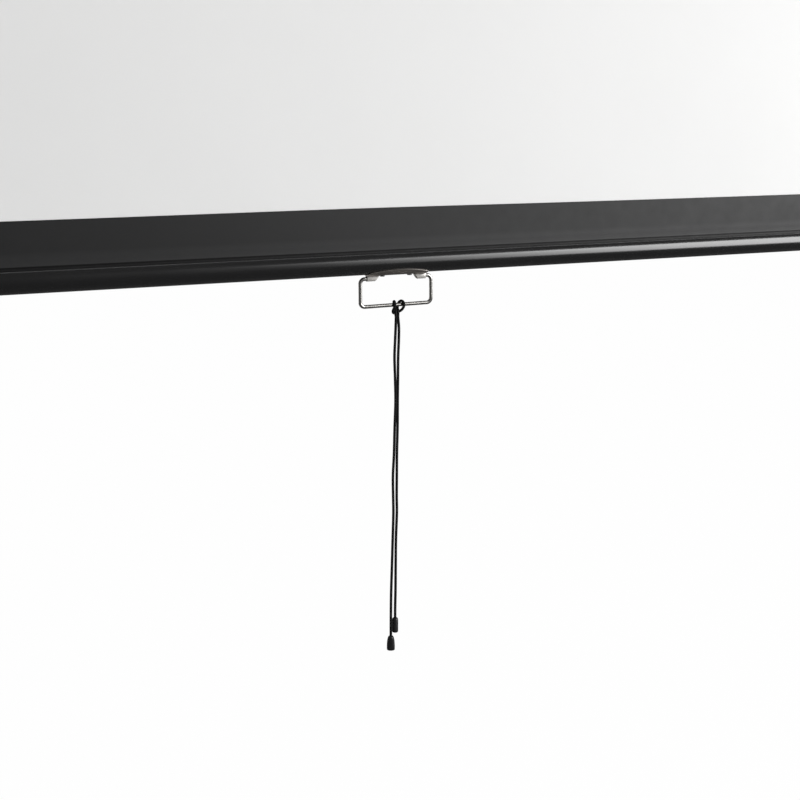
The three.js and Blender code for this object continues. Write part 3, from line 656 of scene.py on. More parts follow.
def projection_face(name, base):
    """Woven matt white with black borders, placed by the sheet's own map, from 0 to 1."""
    sizes, border = settings().fabric, settings().colours.border
    tree = Tree(name, base, 0.62, specular_ior_level=0.3, sheen_weight=0.04)
    flat = (sizes.width, sizes.drop, 1)
    across, up, _ = tree.parts(tree.coordinates(flat, "UV"))
    turns = 2 * math.pi / WEAVE_PITCH
    threads = [tree.math("SINE", tree.math("MULTIPLY", way, turns)) for way in (across, up)]
    tree.relief(tree.math("MULTIPLY", *threads), 0.012 * MM)
    cloud = tree.noise(5.0, 5.0, flat, "UV")
    fine = tree.noise(700.0, 3.0, flat, "UV")
    white = tree.flecked(tree.shades(cloud, 0.985, 1.005), tree.spread(fine, 0.0, 0.3), 0.95)
    black = tree.blend(tree.spread(fine), scaled(border, 0.85), scaled(border, 1.25))
    right_of_left = tree.math("GREATER_THAN", across, sizes.side_border)
    left_of_right = tree.math("LESS_THAN", across, sizes.width - sizes.side_border)
    below_top = tree.math("LESS_THAN", up, sizes.drop - sizes.top_border)
    view = tree.math("MULTIPLY", tree.math("MULTIPLY", right_of_left, left_of_right), below_top)
    tree.paint(tree.blend(view, black, white))
    tree.gloss(fine, 0.56, 0.68)
    tree.relief(cloud, 0.15 * MM, 0.5)
    return tree


# The lowest cloth, where it goes into the bar's groove, is darkened by painted shade: how high, how
# soft its edge, how dark
HEM_SHADE_BAND = 0.9 * MM
HEM_SHADE_SOFT = 0.15 * MM
HEM_PAINTED_SHADE = 0.5
# Above it the cloth is made lighter and shinier by painted sheen: how much more and how far up
PAINTED_SHEEN_GAIN = 1.5
PAINTED_SHEEN_REACH = 14 * MM


def border_face(name, base):
    """Black coated cloth, used for the lower border and the fabric's back."""
    tree = Tree(name, base, 0.5, sheen_roughness=0.4)
    threads = tree.noise(1500.0, 2.0)
    cloud = tree.noise(8.0, 5.0)
    woven = tree.flecked(tree.shades(cloud, 0.94, 1.08), tree.spread(threads, 0.0, 0.5), 1.4)
    height = tree.parts(tree.coordinates())[2]
    line = bar_middle().z + settings().bar.radius + HEM_SHADE_BAND
    # hem: 1 on the lowest band, which gets painted shade in its colour, specular and sheen
    hem = tree.spread(height, 1.0, 0.0, line - HEM_SHADE_SOFT, line + HEM_SHADE_SOFT)
    # above: painted sheen, which raises the cloth's colour, specular and sheen toward the bar
    above = tree.spread(height, PAINTED_SHEEN_GAIN, 1.0, line, line + PAINTED_SHEEN_REACH)
    share = tree.toward(hem, above, HEM_PAINTED_SHADE)
    # The colour carries both the painted shade of the hem and the painted sheen above it
    tree.paint(tree.blend(1.0, woven, share, "MULTIPLY"))
    for socket, value in (("Specular IOR Level", 0.45), ("Sheen Weight", 0.08)):
        tree.set(socket, tree.math("MULTIPLY", share, value))
    tree.gloss(tree.noise(90.0, 4.0), 0.47, 0.53)
    tree.relief(threads, 0.02 * MM)
    tree.relief(cloud, 0.06 * MM, 0.4)
    return tree


# The braid's pattern repeats this far along the cord, and this often round it
BRAID_PITCH = 2.6 * MM
BRAID_ROUND = 4


def braid(name, base):
    """A braided cord: strands crossing both ways round the tube, in the tube's own map."""
    tree = Tree(name, base, 0.7, specular_ior_level=0.2)
    turn, run, _ = tree.parts(tree.add("TexCoord").outputs["UV"])
    along = tree.math("MULTIPLY", run, 2 * math.pi / BRAID_PITCH)
    around = tree.math("MULTIPLY", turn, 2 * math.pi * BRAID_ROUND)
    crossing = tree.math("MAXIMUM", *(
        tree.math("SINE", tree.math(way, along, around)) for way in ("ADD", "SUBTRACT")
    ))
    fibres = tree.noise(2600.0, 2.0)
    # The braid's colour is darker in the grooves between strands and lighter on their crowns: painted
    # shade and painted highlight
    tone = tree.spread(crossing, 0.0, 1.0, -0.2, 1.0)
    shade = tree.blend(tone, scaled(base, 0.45), scaled(base, 1.5))
    tree.paint(tree.flecked(shade, tree.spread(fibres, 0.0, 0.6), 2.4))
    tree.relief(crossing, 0.12 * MM)
    tree.relief(fibres, 0.02 * MM)
    return tree


# How each finish is made: its function, the material's name, its colour and the function's values
FINISHES = {
    "case_paint": (painted, "case_powder_coat", "case_paint", 0.46, 1100.0, 0.5),
    "bracket_paint": (painted, "bracket_paint", "bracket_paint", 0.52, 800.0, 0.8),
    "bar_paint": (bar_paint, "bar_satin_black", "bar_paint"),
    "cap_plastic": (moulded, "cap_moulded_black", "plastic", 0.5, 2600.0, 0.012 * MM),
    "cord_plastic": (moulded, "cord_end_moulded", "cord_plastic", 0.38, 3000.0, 0.01 * MM),
    "plated_steel": (
        metal, "bright_nickel_wire", "plated", 0.2, (0.15, 1, 1), 420.0, 0.92, 0.0015 * MM
    ),
    "satin_steel": (
        satin_plated, "satin_nickel_sheet", "satin", 0.4, (0.15, 1, 1), 420.0, 0.75, 0.006 * MM
    ),
    "zinc_steel": (metal, "zinc_plate", "zinc", 0.34, (1, 1, 1), 1200.0, 0.85, 0.006 * MM),
    "spring_steel": (
        metal, "oiled_spring_steel", "spring_steel", 0.3, (0.3, 1, 1), 800.0, 0.6, 0.004 * MM
    ),
    "roller_aluminium": (
        metal, "drawn_aluminium", "aluminium", 0.36, (0.01, 1, 1), 500.0, 0.88, 0.01 * MM
    ),
    "nylon": (nylon, "moulded_nylon", "nylon"),
    "projection_fabric": (projection_face, "projection_face", "fabric"),
    "border_fabric": (border_face, "black_border_cloth", "border"),
    "cord": (braid, "braided_cord", "cord"),
}
_made = {}


def finish(look):
    """A finish by name, made the first time it is asked for."""
    if look not in _made:
        maker, name, base, *values = FINISHES[look]
        _made[look] = maker(name, getattr(settings().colours, base), *values).material
    return _made[look]


# Camera

CAMERA_PLACE = (-0.7875, -1.5347, -0.9254)
CAMERA_YAW = 28.122
CAMERA_PITCH = 10.878
CAMERA_ROLL = 0.135
FOCAL_PIXELS = 1572.7
PICTURE_PIXELS = 800
SENSOR = 36.0


class SCREEN_OT_camera(Operator):
    """Stand the camera at the left, a little above the bottom bar"""

    bl_idname = "screen_model.camera"
    bl_label = "Camera"

    def execute(self, context):
        ahead = direction(CAMERA_YAW, -CAMERA_PITCH)
        level = direction(CAMERA_YAW + 90, 0)
        above = level.cross(ahead)
        roll = math.radians(CAMERA_ROLL)
        right = level * math.cos(roll) + above * math.sin(roll)
        up = above * math.cos(roll) - level * math.sin(roll)
        data = bpy.data.cameras.new("camera")
        data.sensor_width = SENSOR
        data.lens = SENSOR * FOCAL_PIXELS / PICTURE_PIXELS
        camera = bpy.data.objects.new("camera", data)
        context.scene.collection.objects.link(camera)
        turn = Matrix((right, up, -ahead)).transposed().to_4x4()
        camera.matrix_world = Matrix.Translation(CAMERA_PLACE) @ turn
        context.scene.camera = camera
        return {"FINISHED"}


# Pull cord

# The strands' routes, in millimetres from the middle of the bail's foot
LONG_STRAND = (
    (-0.3, -1, -13.5), (-0.7, -1, -25.1), (-1.4, -1.1, -39.2), (-2.1, -1.1, -56),
    (-1.4, -1.2, -79.8), (-0.8, -1.2, -103.7), (-1.8, -1.2, -134.5), (-2.7, -1.3, -165.4),
    (-3.9, -1.3, -189.2), (-3.6, -1.4, -213.1), (-3.3, -1.4, -229), (-4.2, -1.5, -260.8),
    (-5.1, -1.5, -291.6), (-6.1, -1.6, -322.5), (-6.4, -1.6, -353.3), (-6.4, -1.6, -371.2),
)
SHORT_STRAND = (
    (3, 0.5, -13.5), (4.1, 0.6, -25.1), (4, 0.6, -39.2), (3.3, 0.6, -56),
    (3.1, 0.6, -79.8), (2.8, 0.6, -103.7), (2.7, 0.6, -134.5), (2, 0.6, -165.4),
    (1.9, 0.6, -189.2), (1.8, 0.6, -213.1), (2.1, 0.6, -229), (1, 0.6, -260.8),
    (0.7, 0.6, -291.6), (0.5, 0.6, -322.5), (0.2, 0.6, -336.4), (0.1, 0.6, -351.6),
)
# Up from the long strand, over the wire, round behind both strands, over the wire again and down
HITCH = (
    (-0.3, -1, -13.5), (-0.9, -1.3, -10), (-0.6, -0.4, -6.8), (0.3, 1.9, -3.9), (-0.2, 3.75, -0.2),
    (-1.2, 2.5, 2.8), (-2, 0, 3.7), (-2.7, -2.6, 2.7), (-3.1, -3.75, 0), (-3.6, -3.2, -2.9),
    (-4.1, -1.9, -5), (-3.6, -0.2, -7.3), (-2, 1.9, -8.9), (-0.4, 2.9, -9.4), (1.5, 3.3, -9.2),
    (3.5, 2.9, -8.4), (5.6, 0.4, -6.9), (7, -2.3, -4.4), (7.9, -3.6, -1.3), (7.9, -3.5, 1.6),
    (7.2, -1.3, 3.6), (6.3, 1.2, 3.6), (5.3, 3.4, 1.7), (4.3, 3.7, -0.9), (3.3, 2.3, -4),
    (2.6, -0.2, -6.8), (2.3, -0.9, -10), (3, 0.5, -13.5),
)
STRAND_STEPS = 12
HITCH_STEPS = 8
CORD_SIDES = 20
CORD_WELD = 0.002 * MM
CORD_ANGLE = 80


def route(points, steps):
    """A smooth curve through points below the foot, evenly paced by the root of their distance."""
    ends = [Vector(point) for point in points]
    ends = [2 * ends[0] - ends[1], *ends, 2 * ends[-1] - ends[-2]]
    curve = []
    for before, start, end, after in zip(ends, ends[1:], ends[2:], ends[3:]):
        t0 = 0.0
        t1 = t0 + (start - before).length ** 0.5
        t2 = t1 + (end - start).length ** 0.5
        t3 = t2 + (after - end).length ** 0.5
        for step in range(steps):
            t = t1 + (t2 - t1) * step / steps
            a1 = before.lerp(start, (t - t0) / (t1 - t0))
            a2 = start.lerp(end, (t - t1) / (t2 - t1))
            a3 = end.lerp(after, (t - t2) / (t3 - t2))
            b1 = a1.lerp(a2, (t - t0) / (t2 - t0))
            b2 = a2.lerp(a3, (t - t1) / (t3 - t1))
            curve.append(b1.lerp(b2, (t - t1) / (t2 - t1)))
    curve.append(ends[-2])
    foot = foot_middle()
    return [foot + MM * point for point in curve]


def distances(path):
    """How far along a path each of its points lies."""
    along = [0.0]
    for a, b in zip(path, path[1:]):
        along.append(along[-1] + (b - a).length)
    return along


def cord_tube(path):
    """A closed tube along a path, whose map runs round it and, in metres, along it."""
    data = bpy.data.curves.new("cord", "CURVE")
    data.dimensions = "3D"
    data.twist_mode = "MINIMUM"
    spline = data.splines.new("POLY")
    spline.points.add(len(path) - 1)
    for point, spot in zip(spline.points, path):
        point.co = (*spot, 1.0)
    data.bevel_depth = settings().cord.diameter / 2
    data.bevel_resolution = CORD_SIDES // 4 - 1
    data.use_fill_caps = True
    obj = bpy.data.objects.new("cord", data)
    bpy.context.scene.collection.objects.link(obj)
    only(obj)
    bpy.ops.object.convert(target="MESH")
    obj = bpy.context.object
    map_along(obj.data, path)
    edit(obj, "VERT")
    return weld(obj, CORD_WELD)


def map_along(mesh, path):
    """Writes the tube's map: share of a turn round it, and metres along it."""
    rings = len(path)
    sides = len(mesh.vertices) // rings
    along = distances(path)
    layer = mesh.uv_layers[0]
    for polygon in mesh.polygons:
        places = [mesh.loops[corner].vertex_index for corner in polygon.loop_indices]
        around = [vertex % sides for vertex in places]
        wraps = max(around) - min(around) > sides // 2
        for corner, vertex, side in zip(polygon.loop_indices, places, around):
            turn = side / sides + (1.0 if wraps and side < sides // 2 else 0.0)
            layer.data[corner].uv = (turn, along[min(vertex // sides, rings - 1)])


# A moulded end: wide radius, narrow radius and depth, as shares of the end's radius and length
END_STATIONS = (
    (0.34, 0.34, 0.0), (0.5, 0.56, 0.012), (0.64, 0.69, 0.045), (0.74, 0.76, 0.1),
    (0.83, 0.79, 0.18), (0.93, 0.79, 0.32), (0.99, 0.79, 0.52), (1.02, 0.79, 0.72),
    (1.02, 0.79, 0.88), (1.01, 0.78, 0.95), (0.95, 0.74, 0.985), (0.86, 0.68, 1.0),
)
# Its bore from below: radius and depth, as shares of the bore's radius and the end's length
BORE_STATIONS = ((1.0, 1.0), (0.96, 0.985), (0.92, 0.78), (0.0, 0.76))
# Points this far out, as a share of the bore's radius, lie on the end's outside
OUTSIDE = 1.02
END_SIDES = 40
END_ANGLE = 50


def cord_end(last, wide_turn):
    """A moulded bell over a strand's knotted end, open below, wider one way than the other."""
    sizes = settings().cord
    drop, bore = sizes.end_length, sizes.end_bore
    stations = [(sizes.end_radius * wide, -drop * depth) for wide, _, depth in END_STATIONS]
    stations += [(bore * share, -drop * depth) for share, depth in BORE_STATIONS]
    bell = turned(stations, END_SIDES)
    for vertex in bell.data.vertices:
        depth = -vertex.co.z / drop
        wide, narrow, _ = min(END_STATIONS, key=lambda station: abs(station[2] - depth))
        if vertex.co.xy.length > bore * OUTSIDE or depth < 0.5:
            vertex.co.y *= narrow / wide
    return place(bell, last - Vector((0, 0, sizes.end_gap)), (0, 0, wide_turn))


class SCREEN_OT_pull_cord(Operator):
    """Hitch the pull cord over the bail's foot and hang its two strands with their moulded ends"""

    bl_idname = "screen_model.pull_cord"
    bl_label = "Pull Cord"

    def execute(self, context):
        hitch = cord_tube(route(HITCH, HITCH_STEPS))
        finished(hitch, "pull_cord_hitch", "cord", "cord", "cord_hitch", angle=CORD_ANGLE)
        camera_side = -math.radians(CAMERA_YAW)
        strands = (("long", LONG_STRAND, 0.0), ("short", SHORT_STRAND, math.pi / 2))
        for which, points, wide in strands:
            path = route(points, STRAND_STEPS)
            bell, strand = cord_end(path[-1], camera_side + wide), cord_tube(path)
            node, name = f"cord_end_{which}", f"pull_cord_{which}"
            finished(bell, f"cord_bell_{which}", "cord", "cord_plastic", node, angle=END_ANGLE)
            finished(strand, name, "cord", "cord", f"cord_strand_{which}", angle=CORD_ANGLE)
            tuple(path[0])
            distances(path)[-1]
        return {"FINISHED"}


# Fabric

SHEET_COLUMNS = 128
SHEET_ROWS = 84
SHEET_ANGLE = 60
# The hanging sheet's slow waves: share of the height, and radians for each metre across, each
# metre up, and at the start
WAVES = ((1.0, 5.1, 0.0, 0.6), (0.5, 11.3, 1.3, -2.0), (0.35, 2.1, 3.7, 0.0))
WAVE_FADE = 0.7
ROLL_TURNS = 2.25
ROLL_GAP = 0.04 * MM
ROLL_COLUMNS = 12
ROLL_ROWS = 162


def waved(x, z):
    """The hanging sheet's waves, which fade towards the roller and the bar."""
    sizes = settings().fabric
    share = -z / sizes.drop
    if not 0 < share < 1:
        return 0.0
    slow = sum(part * math.sin(wide * x + high * z + start) for part, wide, high, start in WAVES)
    hold = math.sin(math.pi * share) ** WAVE_FADE
    return sizes.wave * hold * slow / sum(wave[0] for wave in WAVES)


class SCREEN_OT_rolled_fabric(Operator):
    """Roll the rest of the fabric up on the roller, out to where the sheet leaves it"""

    bl_idname = "screen_model.rolled_fabric"
    bl_label = "Rolled Fabric"

    def execute(self, context):
        thickness = settings().fabric.thickness
        low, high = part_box("wound_fabric")
        middle = (low + high) / 2
        outer = (high.z - low.z) / 2 - thickness / 2
        turn = 2 * math.pi * ROLL_TURNS
        layers = ROLL_TURNS * (thickness + ROLL_GAP)
        roll = grid(ROLL_COLUMNS, ROLL_ROWS)
        for vertex in roll.data.vertices:
            share = 0.5 - vertex.co.y
            radius, angle = outer - layers * share, turn * share
            vertex.co = (
                middle.x + vertex.co.x * (high.x - low.x),
                middle.y - radius * math.cos(angle), middle.z + radius * math.sin(angle),
            )
        modify(roll, "SOLIDIFY", thickness=thickness, offset=0.0)
        finished(
            roll, "rolled_fabric", "roller", "projection_fabric", "wound_fabric",
            ["border_fabric"], SHEET_ANGLE,
        )
        return {"FINISHED"}


class SCREEN_OT_fabric(Operator):
    """Hang the projection fabric from the roller, white with black borders and a black back"""

    bl_idname = "screen_model.fabric"
    bl_label = "Projection Fabric"

    def execute(self, context):
        low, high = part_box("screen_fabric")
        sheet = upright(SHEET_COLUMNS, SHEET_ROWS, low, high)
        for vertex in sheet.data.vertices:
            vertex.co.y += waved(vertex.co.x, vertex.co.z)
        looks = ["projection_fabric", "border_fabric"]
        dress(sheet, looks)
        modify(
            sheet, "SOLIDIFY", thickness=settings().fabric.thickness, offset=0.0,
            material_offset=1, material_offset_rim=1,
        )
        finished(
            sheet, "hanging_fabric", "case", "projection_fabric", "screen_fabric", looks,
            SHEET_ANGLE,
        )
        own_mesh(sheet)
        return {"FINISHED"}


BORDER_ROWS = 12
BORDER_WAVE = 0.12 * MM
BORDER_WAVES = 9.0
# Below this height over the bar, the border's cloth turns in to the groove
BORDER_NECK = 4 * MM
# The border's seam is not quite straight: it rises a little near the middle
SEAM_RISE = 1.0 * MM
SEAM_MIDDLE = -0.05
SEAM_REACH = 0.22


class SCREEN_OT_lower_border(Operator):
    """Hang the black lower border between the fabric and the bar"""

    bl_idname = "screen_model.lower_border"
    bl_label = "Lower Border"

    def execute(self, context):
        sizes = settings().fabric
        low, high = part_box("border_strip")
        top = high.z + sizes.border_lap
        front = low.y - sizes.thickness / 2
        strip = upright(SHEET_COLUMNS, BORDER_ROWS, (low.x, front, low.z), (high.x, front, top))
        neck = bar_middle().z + settings().bar.radius + BORDER_NECK
        edit(strip)
        choose(strip, "VERT", lambda part, spot: spot.z < neck)
        bpy.ops.transform.translate(value=(0, (low.y + high.y) / 2 - front, 0))
        leave(strip)
        for vertex in strip.data.vertices:
            x, share = vertex.co.x, (vertex.co.z - low.z) / (top - low.z)
            vertex.co.y += BORDER_WAVE * math.sin(BORDER_WAVES * x) * math.sin(math.pi * share)
            vertex.co.z += SEAM_RISE * share**3 * math.exp(-((x - SEAM_MIDDLE) / SEAM_REACH) ** 2)
        modify(strip, "SOLIDIFY", thickness=sizes.thickness, offset=0.0)
        finished(strip, "lower_border", "bar", "border_fabric", "border_strip", angle=SHEET_ANGLE)
        return {"FINISHED"}


# Bottom bar

BAR_SIDES = 144
BAR_ANGLE = 35
BAR_SOFTNESS = 0.3 * MM
GROOVE_SIDES = 48
ROOM_SIDES = 32
# A quarter turn in steps, in radians
QUARTER = (0, 0.26, 0.52, 0.79, 1.05, 1.31, 1.5708)
# A cap's sunk middle: its outer and inner radius as shares of the bar's, and its depth
SUNK_SHARES = (0.62, 0.58)
SUNK = 0.25 * MM
# The slanted edges of a cap's plug and of its rim
PLUG_LEAD = 0.8 * MM
RIM_LEAD = 0.2 * MM


def groove_seat():
    """The middle of the groove for the hem, above the bar's middle."""
    sizes = settings().bar
    return bar_middle() + Vector((0, 0, sizes.radius - sizes.groove_radius - sizes.groove_wall))


def bar_cap(node, side):
    """A cap with a rounded rim and a sunk middle, and room in its plug for the groove."""
    sizes, fit = settings().bar, settings().case.fit
    radius, edge = sizes.radius, sizes.cap_edge
    plug = radius - sizes.wall - fit
    face = end_of("bottom_bar", side)
    thick = abs(end_of(node, side) - face) - fit
    end, (outer, inner) = -sizes.cap_plug, (radius * share for share in SUNK_SHARES)
    cap = turned([
        (0.0, end), (plug - PLUG_LEAD, end), (plug, end + PLUG_LEAD), (plug, 0.0),
        (radius - RIM_LEAD, 0.0), (radius, RIM_LEAD),
        *((radius - edge * (1 - math.cos(t)), thick - edge * (1 - math.sin(t))) for t in QUARTER),
        (outer, thick), (inner, thick - SUNK), (0.0, thick - SUNK),
    ], BAR_SIDES // 2)
    at = bar_middle()
    place(cap, (face + side * fit, at.y, at.z), (0, side * math.pi / 2, 0))
    room = (face - side * 2 * sizes.cap_plug, face + side * fit)
    wide = sizes.groove_radius + sizes.groove_wall + fit
    return cut(cap, rod("X", wide, groove_seat(), room, ROOM_SIDES))


class SCREEN_OT_bottom_bar(Operator):
    """Draw the bottom bar's tube with the groove for the fabric's hem, and close its ends"""

    bl_idname = "screen_model.bottom_bar"
    bl_label = "Bottom Bar"

    def execute(self, context):
        sizes = settings().bar
        low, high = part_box("bottom_bar")
        middle, seat = bar_middle(), groove_seat()
        ends = (low.x, high.x)
        over = (low.x - THROUGH, high.x + THROUGH)
        half = sizes.groove_mouth / 2
        tube = rod("X", sizes.radius, middle, ends, BAR_SIDES)
        cut(tube, rod("X", sizes.radius - sizes.wall, middle, over, BAR_SIDES))
        join(tube, rod("X", sizes.groove_radius + sizes.groove_wall, seat, ends, GROOVE_SIDES))
        cut(
            tube, rod("X", sizes.groove_radius, seat, over, GROOVE_SIDES),
            block(
                (over[0], middle.y - half, seat.z),
                (over[1], middle.y + half, middle.z + sizes.radius + THROUGH),
            ),
        )
        soften(tube, BAR_SOFTNESS, 40)
        finished(tube, "bar_tube", "bar", "bar_paint", "bottom_bar", angle=BAR_ANGLE)
        for side, hand in SIDES:
            node, name = f"bar_cap_{hand}", f"bar_end_{hand}"
            finished(bar_cap(node, side), name, "bar", "cap_plastic", node, angle=BAR_ANGLE)
        return {"FINISHED"}


# Handle

SADDLE_FULLNESS = 2.5
SADDLE_COLUMNS = 96
SADDLE_ROWS = 24
SADDLE_SOFTNESS = 0.16 * MM


def saddle_half_width(x):
    """Half the saddle's width seen from below: widest in the middle, rounded at its ends."""
    sizes = settings().handle
    inner = sizes.saddle_length / 2 - sizes.saddle_round
    if abs(x) <= inner:
        grown = 1 - abs(x / inner) ** SADDLE_FULLNESS
        return (sizes.saddle_end + (sizes.saddle_middle - sizes.saddle_end) * grown) / 2
    share = min(1.0, (abs(x) - inner) / sizes.saddle_round)
    return sizes.saddle_end / 2 - sizes.saddle_round / 2 * (1 - math.sqrt(1 - share**2))


def saddle_plate():
    """The sheet that lies against the bar from below."""
    sizes = settings().handle
    half = sizes.saddle_length / 2
    inner = settings().bar.radius + settings().case.fit
    plate = grid(SADDLE_COLUMNS, SADDLE_ROWS, 2.0)
    for vertex in plate.data.vertices:
        x, across = vertex.co.x * half, vertex.co.y
        angle = across * math.asin(saddle_half_width(x) / (inner + sizes.saddle_sheet))
        vertex.co = (x, inner * math.sin(angle), -inner * math.cos(angle))
    edit(plate)
    select_all()
    bpy.ops.mesh.flip_normals()
    leave(plate)
    return thicken(plate, sizes.saddle_sheet, 1.0)


# Room in a knuckle for the bail's tilt
KNUCKLE_SLACK = 0.1 * MM
KNUCKLE_TURN = 232
KNUCKLE_STEPS = 24
# How deep in the saddle's sheet a knuckle starts, as a share of the sheet
KNUCKLE_ROOT_SHARE = 0.6


def knuckle(side):
    """A tab of the sheet, turned down and rolled under the pin, with a slanted inner side."""
    sizes, fit = settings().handle, settings().case.fit
    sheet = sizes.knuckle_radius - sizes.wire / 2 - fit - KNUCKLE_SLACK
    far = side * sizes.saddle_length / 2
    near = far - side * sizes.knuckle_length
    mid = sizes.knuckle_radius - sheet / 2
    top = -settings().bar.radius - fit - sizes.saddle_sheet * KNUCKLE_ROOT_SHARE
    pin = -sizes.pin_drop
    roll = upright(1, 1, (min(near, far), -mid, pin), (max(near, far), -mid, top))
    edit(roll)
    choose(roll, "EDGE", lambda part, spot: abs(spot.z - pin) < CLOSE)
    bpy.ops.mesh.spin(
        steps=KNUCKLE_STEPS, angle=-math.radians(KNUCKLE_TURN), center=(0, 0, pin), axis=(1, 0, 0)
    )
    weld(roll, CLOSE)
    low = pin - mid
    for vertex in roll.data.vertices:
        if abs(vertex.co.x - near) < CLOSE:
            share = max(0.0, min(1.0, (top - vertex.co.z) / (top - low)))
            vertex.co.x += side * sizes.knuckle_slant * share
    return thicken(roll, sheet, 0.0)


class SCREEN_OT_saddle(Operator):
    """Press the saddle round the bar's underside and roll its two knuckles"""

    bl_idname = "screen_model.saddle"
    bl_label = "Saddle"

    def execute(self, context):
        saddle = join(saddle_plate(), knuckle(-1), knuckle(1))
        soften(saddle, SADDLE_SOFTNESS)
        place(saddle, bar_middle())
        finished(saddle, "saddle_plate", "bar", "plated_steel", "handle_saddle", ["satin_steel"])
        return {"FINISHED"}


WIRE_SIDES = 40
SHOULDER_STEPS = 14
FOOT_STEPS = 16
WIRE_WELD = 0.005 * MM
WIRE_SOFTNESS = 0.4 * MM
# The cord hangs left of the middle, so the bail sits aslant in its loose knuckles, in degrees
BAIL_TILT = 0.4


def bend(x, z, steps):
    """Bends the wire's open end a quarter turn about a place."""
    bpy.ops.mesh.spin(steps=steps, angle=math.pi / 2, center=(x, 0, z), axis=(0, 1, 0))


class SCREEN_OT_bail(Operator):
    """Bend the wire bail, from one pin down its arm, along its foot and up to the other pin"""

    bl_idname = "screen_model.bail"
    bl_label = "Bail"

    def execute(self, context):
        sizes = settings().handle
        arm = (sizes.bail_width - sizes.wire) / 2
        pin = sizes.saddle_length / 2 - sizes.pin_grip
        shoulder = arm - sizes.shoulder_bend
        corner, foot = arm - sizes.foot_bend, -sizes.bail_drop + sizes.foot_bend
        straight = sizes.bail_drop - sizes.shoulder_bend - sizes.foot_bend
        deselect()
        bpy.ops.mesh.primitive_circle_add(
            vertices=WIRE_SIDES, radius=sizes.wire / 2, location=(-pin, 0, 0),
            rotation=TURN_TO["X"],
        )
        wire = apply_place(bpy.context.object)
        edit(wire, "EDGE")
        select_all()
        extrude((pin - shoulder, 0, 0))
        bend(-shoulder, -sizes.shoulder_bend, SHOULDER_STEPS)
        extrude((0, 0, -straight))
        bend(-corner, foot, FOOT_STEPS)
        extrude((2 * corner, 0, 0))
        bend(corner, foot, FOOT_STEPS)
        extrude((0, 0, straight))
        bend(shoulder, -sizes.shoulder_bend, SHOULDER_STEPS)
        extrude((pin - shoulder, 0, 0))
        weld(wire, WIRE_WELD, fill=True)
        soften(wire, WIRE_SOFTNESS, 60)
        place(wire, pin_middle(), (0, -math.radians(BAIL_TILT), 0))
        finished(wire, "bail_wire", "bail", "plated_steel", "handle_bail", angle=50)
        return {"FINISHED"}


# Screws

# Radius of the thread and of the head, height of the head and length of the shank
SADDLE_SCREW = (1.5 * MM, 2.9 * MM, 1 * MM, 6 * MM)
CASE_SCREW = (1.9 * MM, 3.6 * MM, 2 * MM, 8 * MM)
BRACKET_SCREW = (1.9 * MM, 3.6 * MM, 2 * MM, 9 * MM)
SCREW_SIDES = 36
THREAD_PITCH = 0.9 * MM
# A turn of the thread: share of its radius, and height over the turn's foot
THREAD_TURN = ((0.82, 0.0), (1.0, 0.35 * MM), (0.82, 0.6 * MM))
THREAD_START = 0.6 * MM
THREAD_END = 0.8 * MM
# Steps up the head's dome, in radians, how full the dome is, and the heights of its first step
# and of the head's edge as shares of the head's height
DOME = (0.2, 0.5, 0.8, 1.1, 1.35)
DOME_FULLNESS = 0.6
DOME_START = 0.25
DOME_EDGE = 0.12
# The shank's point and its neck as shares of the thread's radius, and the seat's of the head's
POINT_SHARE = 0.6
NECK_SHARE = 0.9
SEAT_SHARE = 0.95
# The cross recess: half length and half width as shares of the head's radius, depth as one of
# its height, and how much it narrows to its bottom
RECESS_SHARES = (0.5, 0.085, 0.6)
RECESS_TAPER = 0.62
SCREW_HOLE = 2.2 * MM
HOLE_SIDES = 24


def pan_screw(radius, head, height, shank):
    """A pan head screw with a cross recess, head up, its seat at z = 0."""
    widths = [head * math.cos(t) ** DOME_FULLNESS for t in DOME]
    heights = [height * (DOME_START + (1 - DOME_START) * math.sin(t)) for t in DOME]
    thread = []
    for turn in range(int(shank / THREAD_PITCH)):
        level = -shank + THREAD_START + turn * THREAD_PITCH
        if level < -THREAD_END:
            thread += [(radius * share, level + rise) for share, rise in THREAD_TURN]
    screw = turned([
        (0.0, -shank), (radius * POINT_SHARE, -shank), *thread, (radius * NECK_SHARE, 0.0),
        (head * SEAT_SHARE, 0.0), (head, height * DOME_EDGE), *zip(widths, heights),
        (0.0, height),
    ], SCREW_SIDES)
    reach, half = head * RECESS_SHARES[0], head * RECESS_SHARES[1]
    deep = height - height * RECESS_SHARES[2]
    for x, y in ((reach, half), (half, reach)):
        slot = block((-x, -y, deep), (x, y, height + THROUGH))
        edit(slot)
        choose(slot, "FACE", lambda part, spot: spot.z < height)
        widen((RECESS_TAPER, RECESS_TAPER, 1.0), (0, 0, deep))
        leave(slot)
        cut(screw, slot)
    return screw


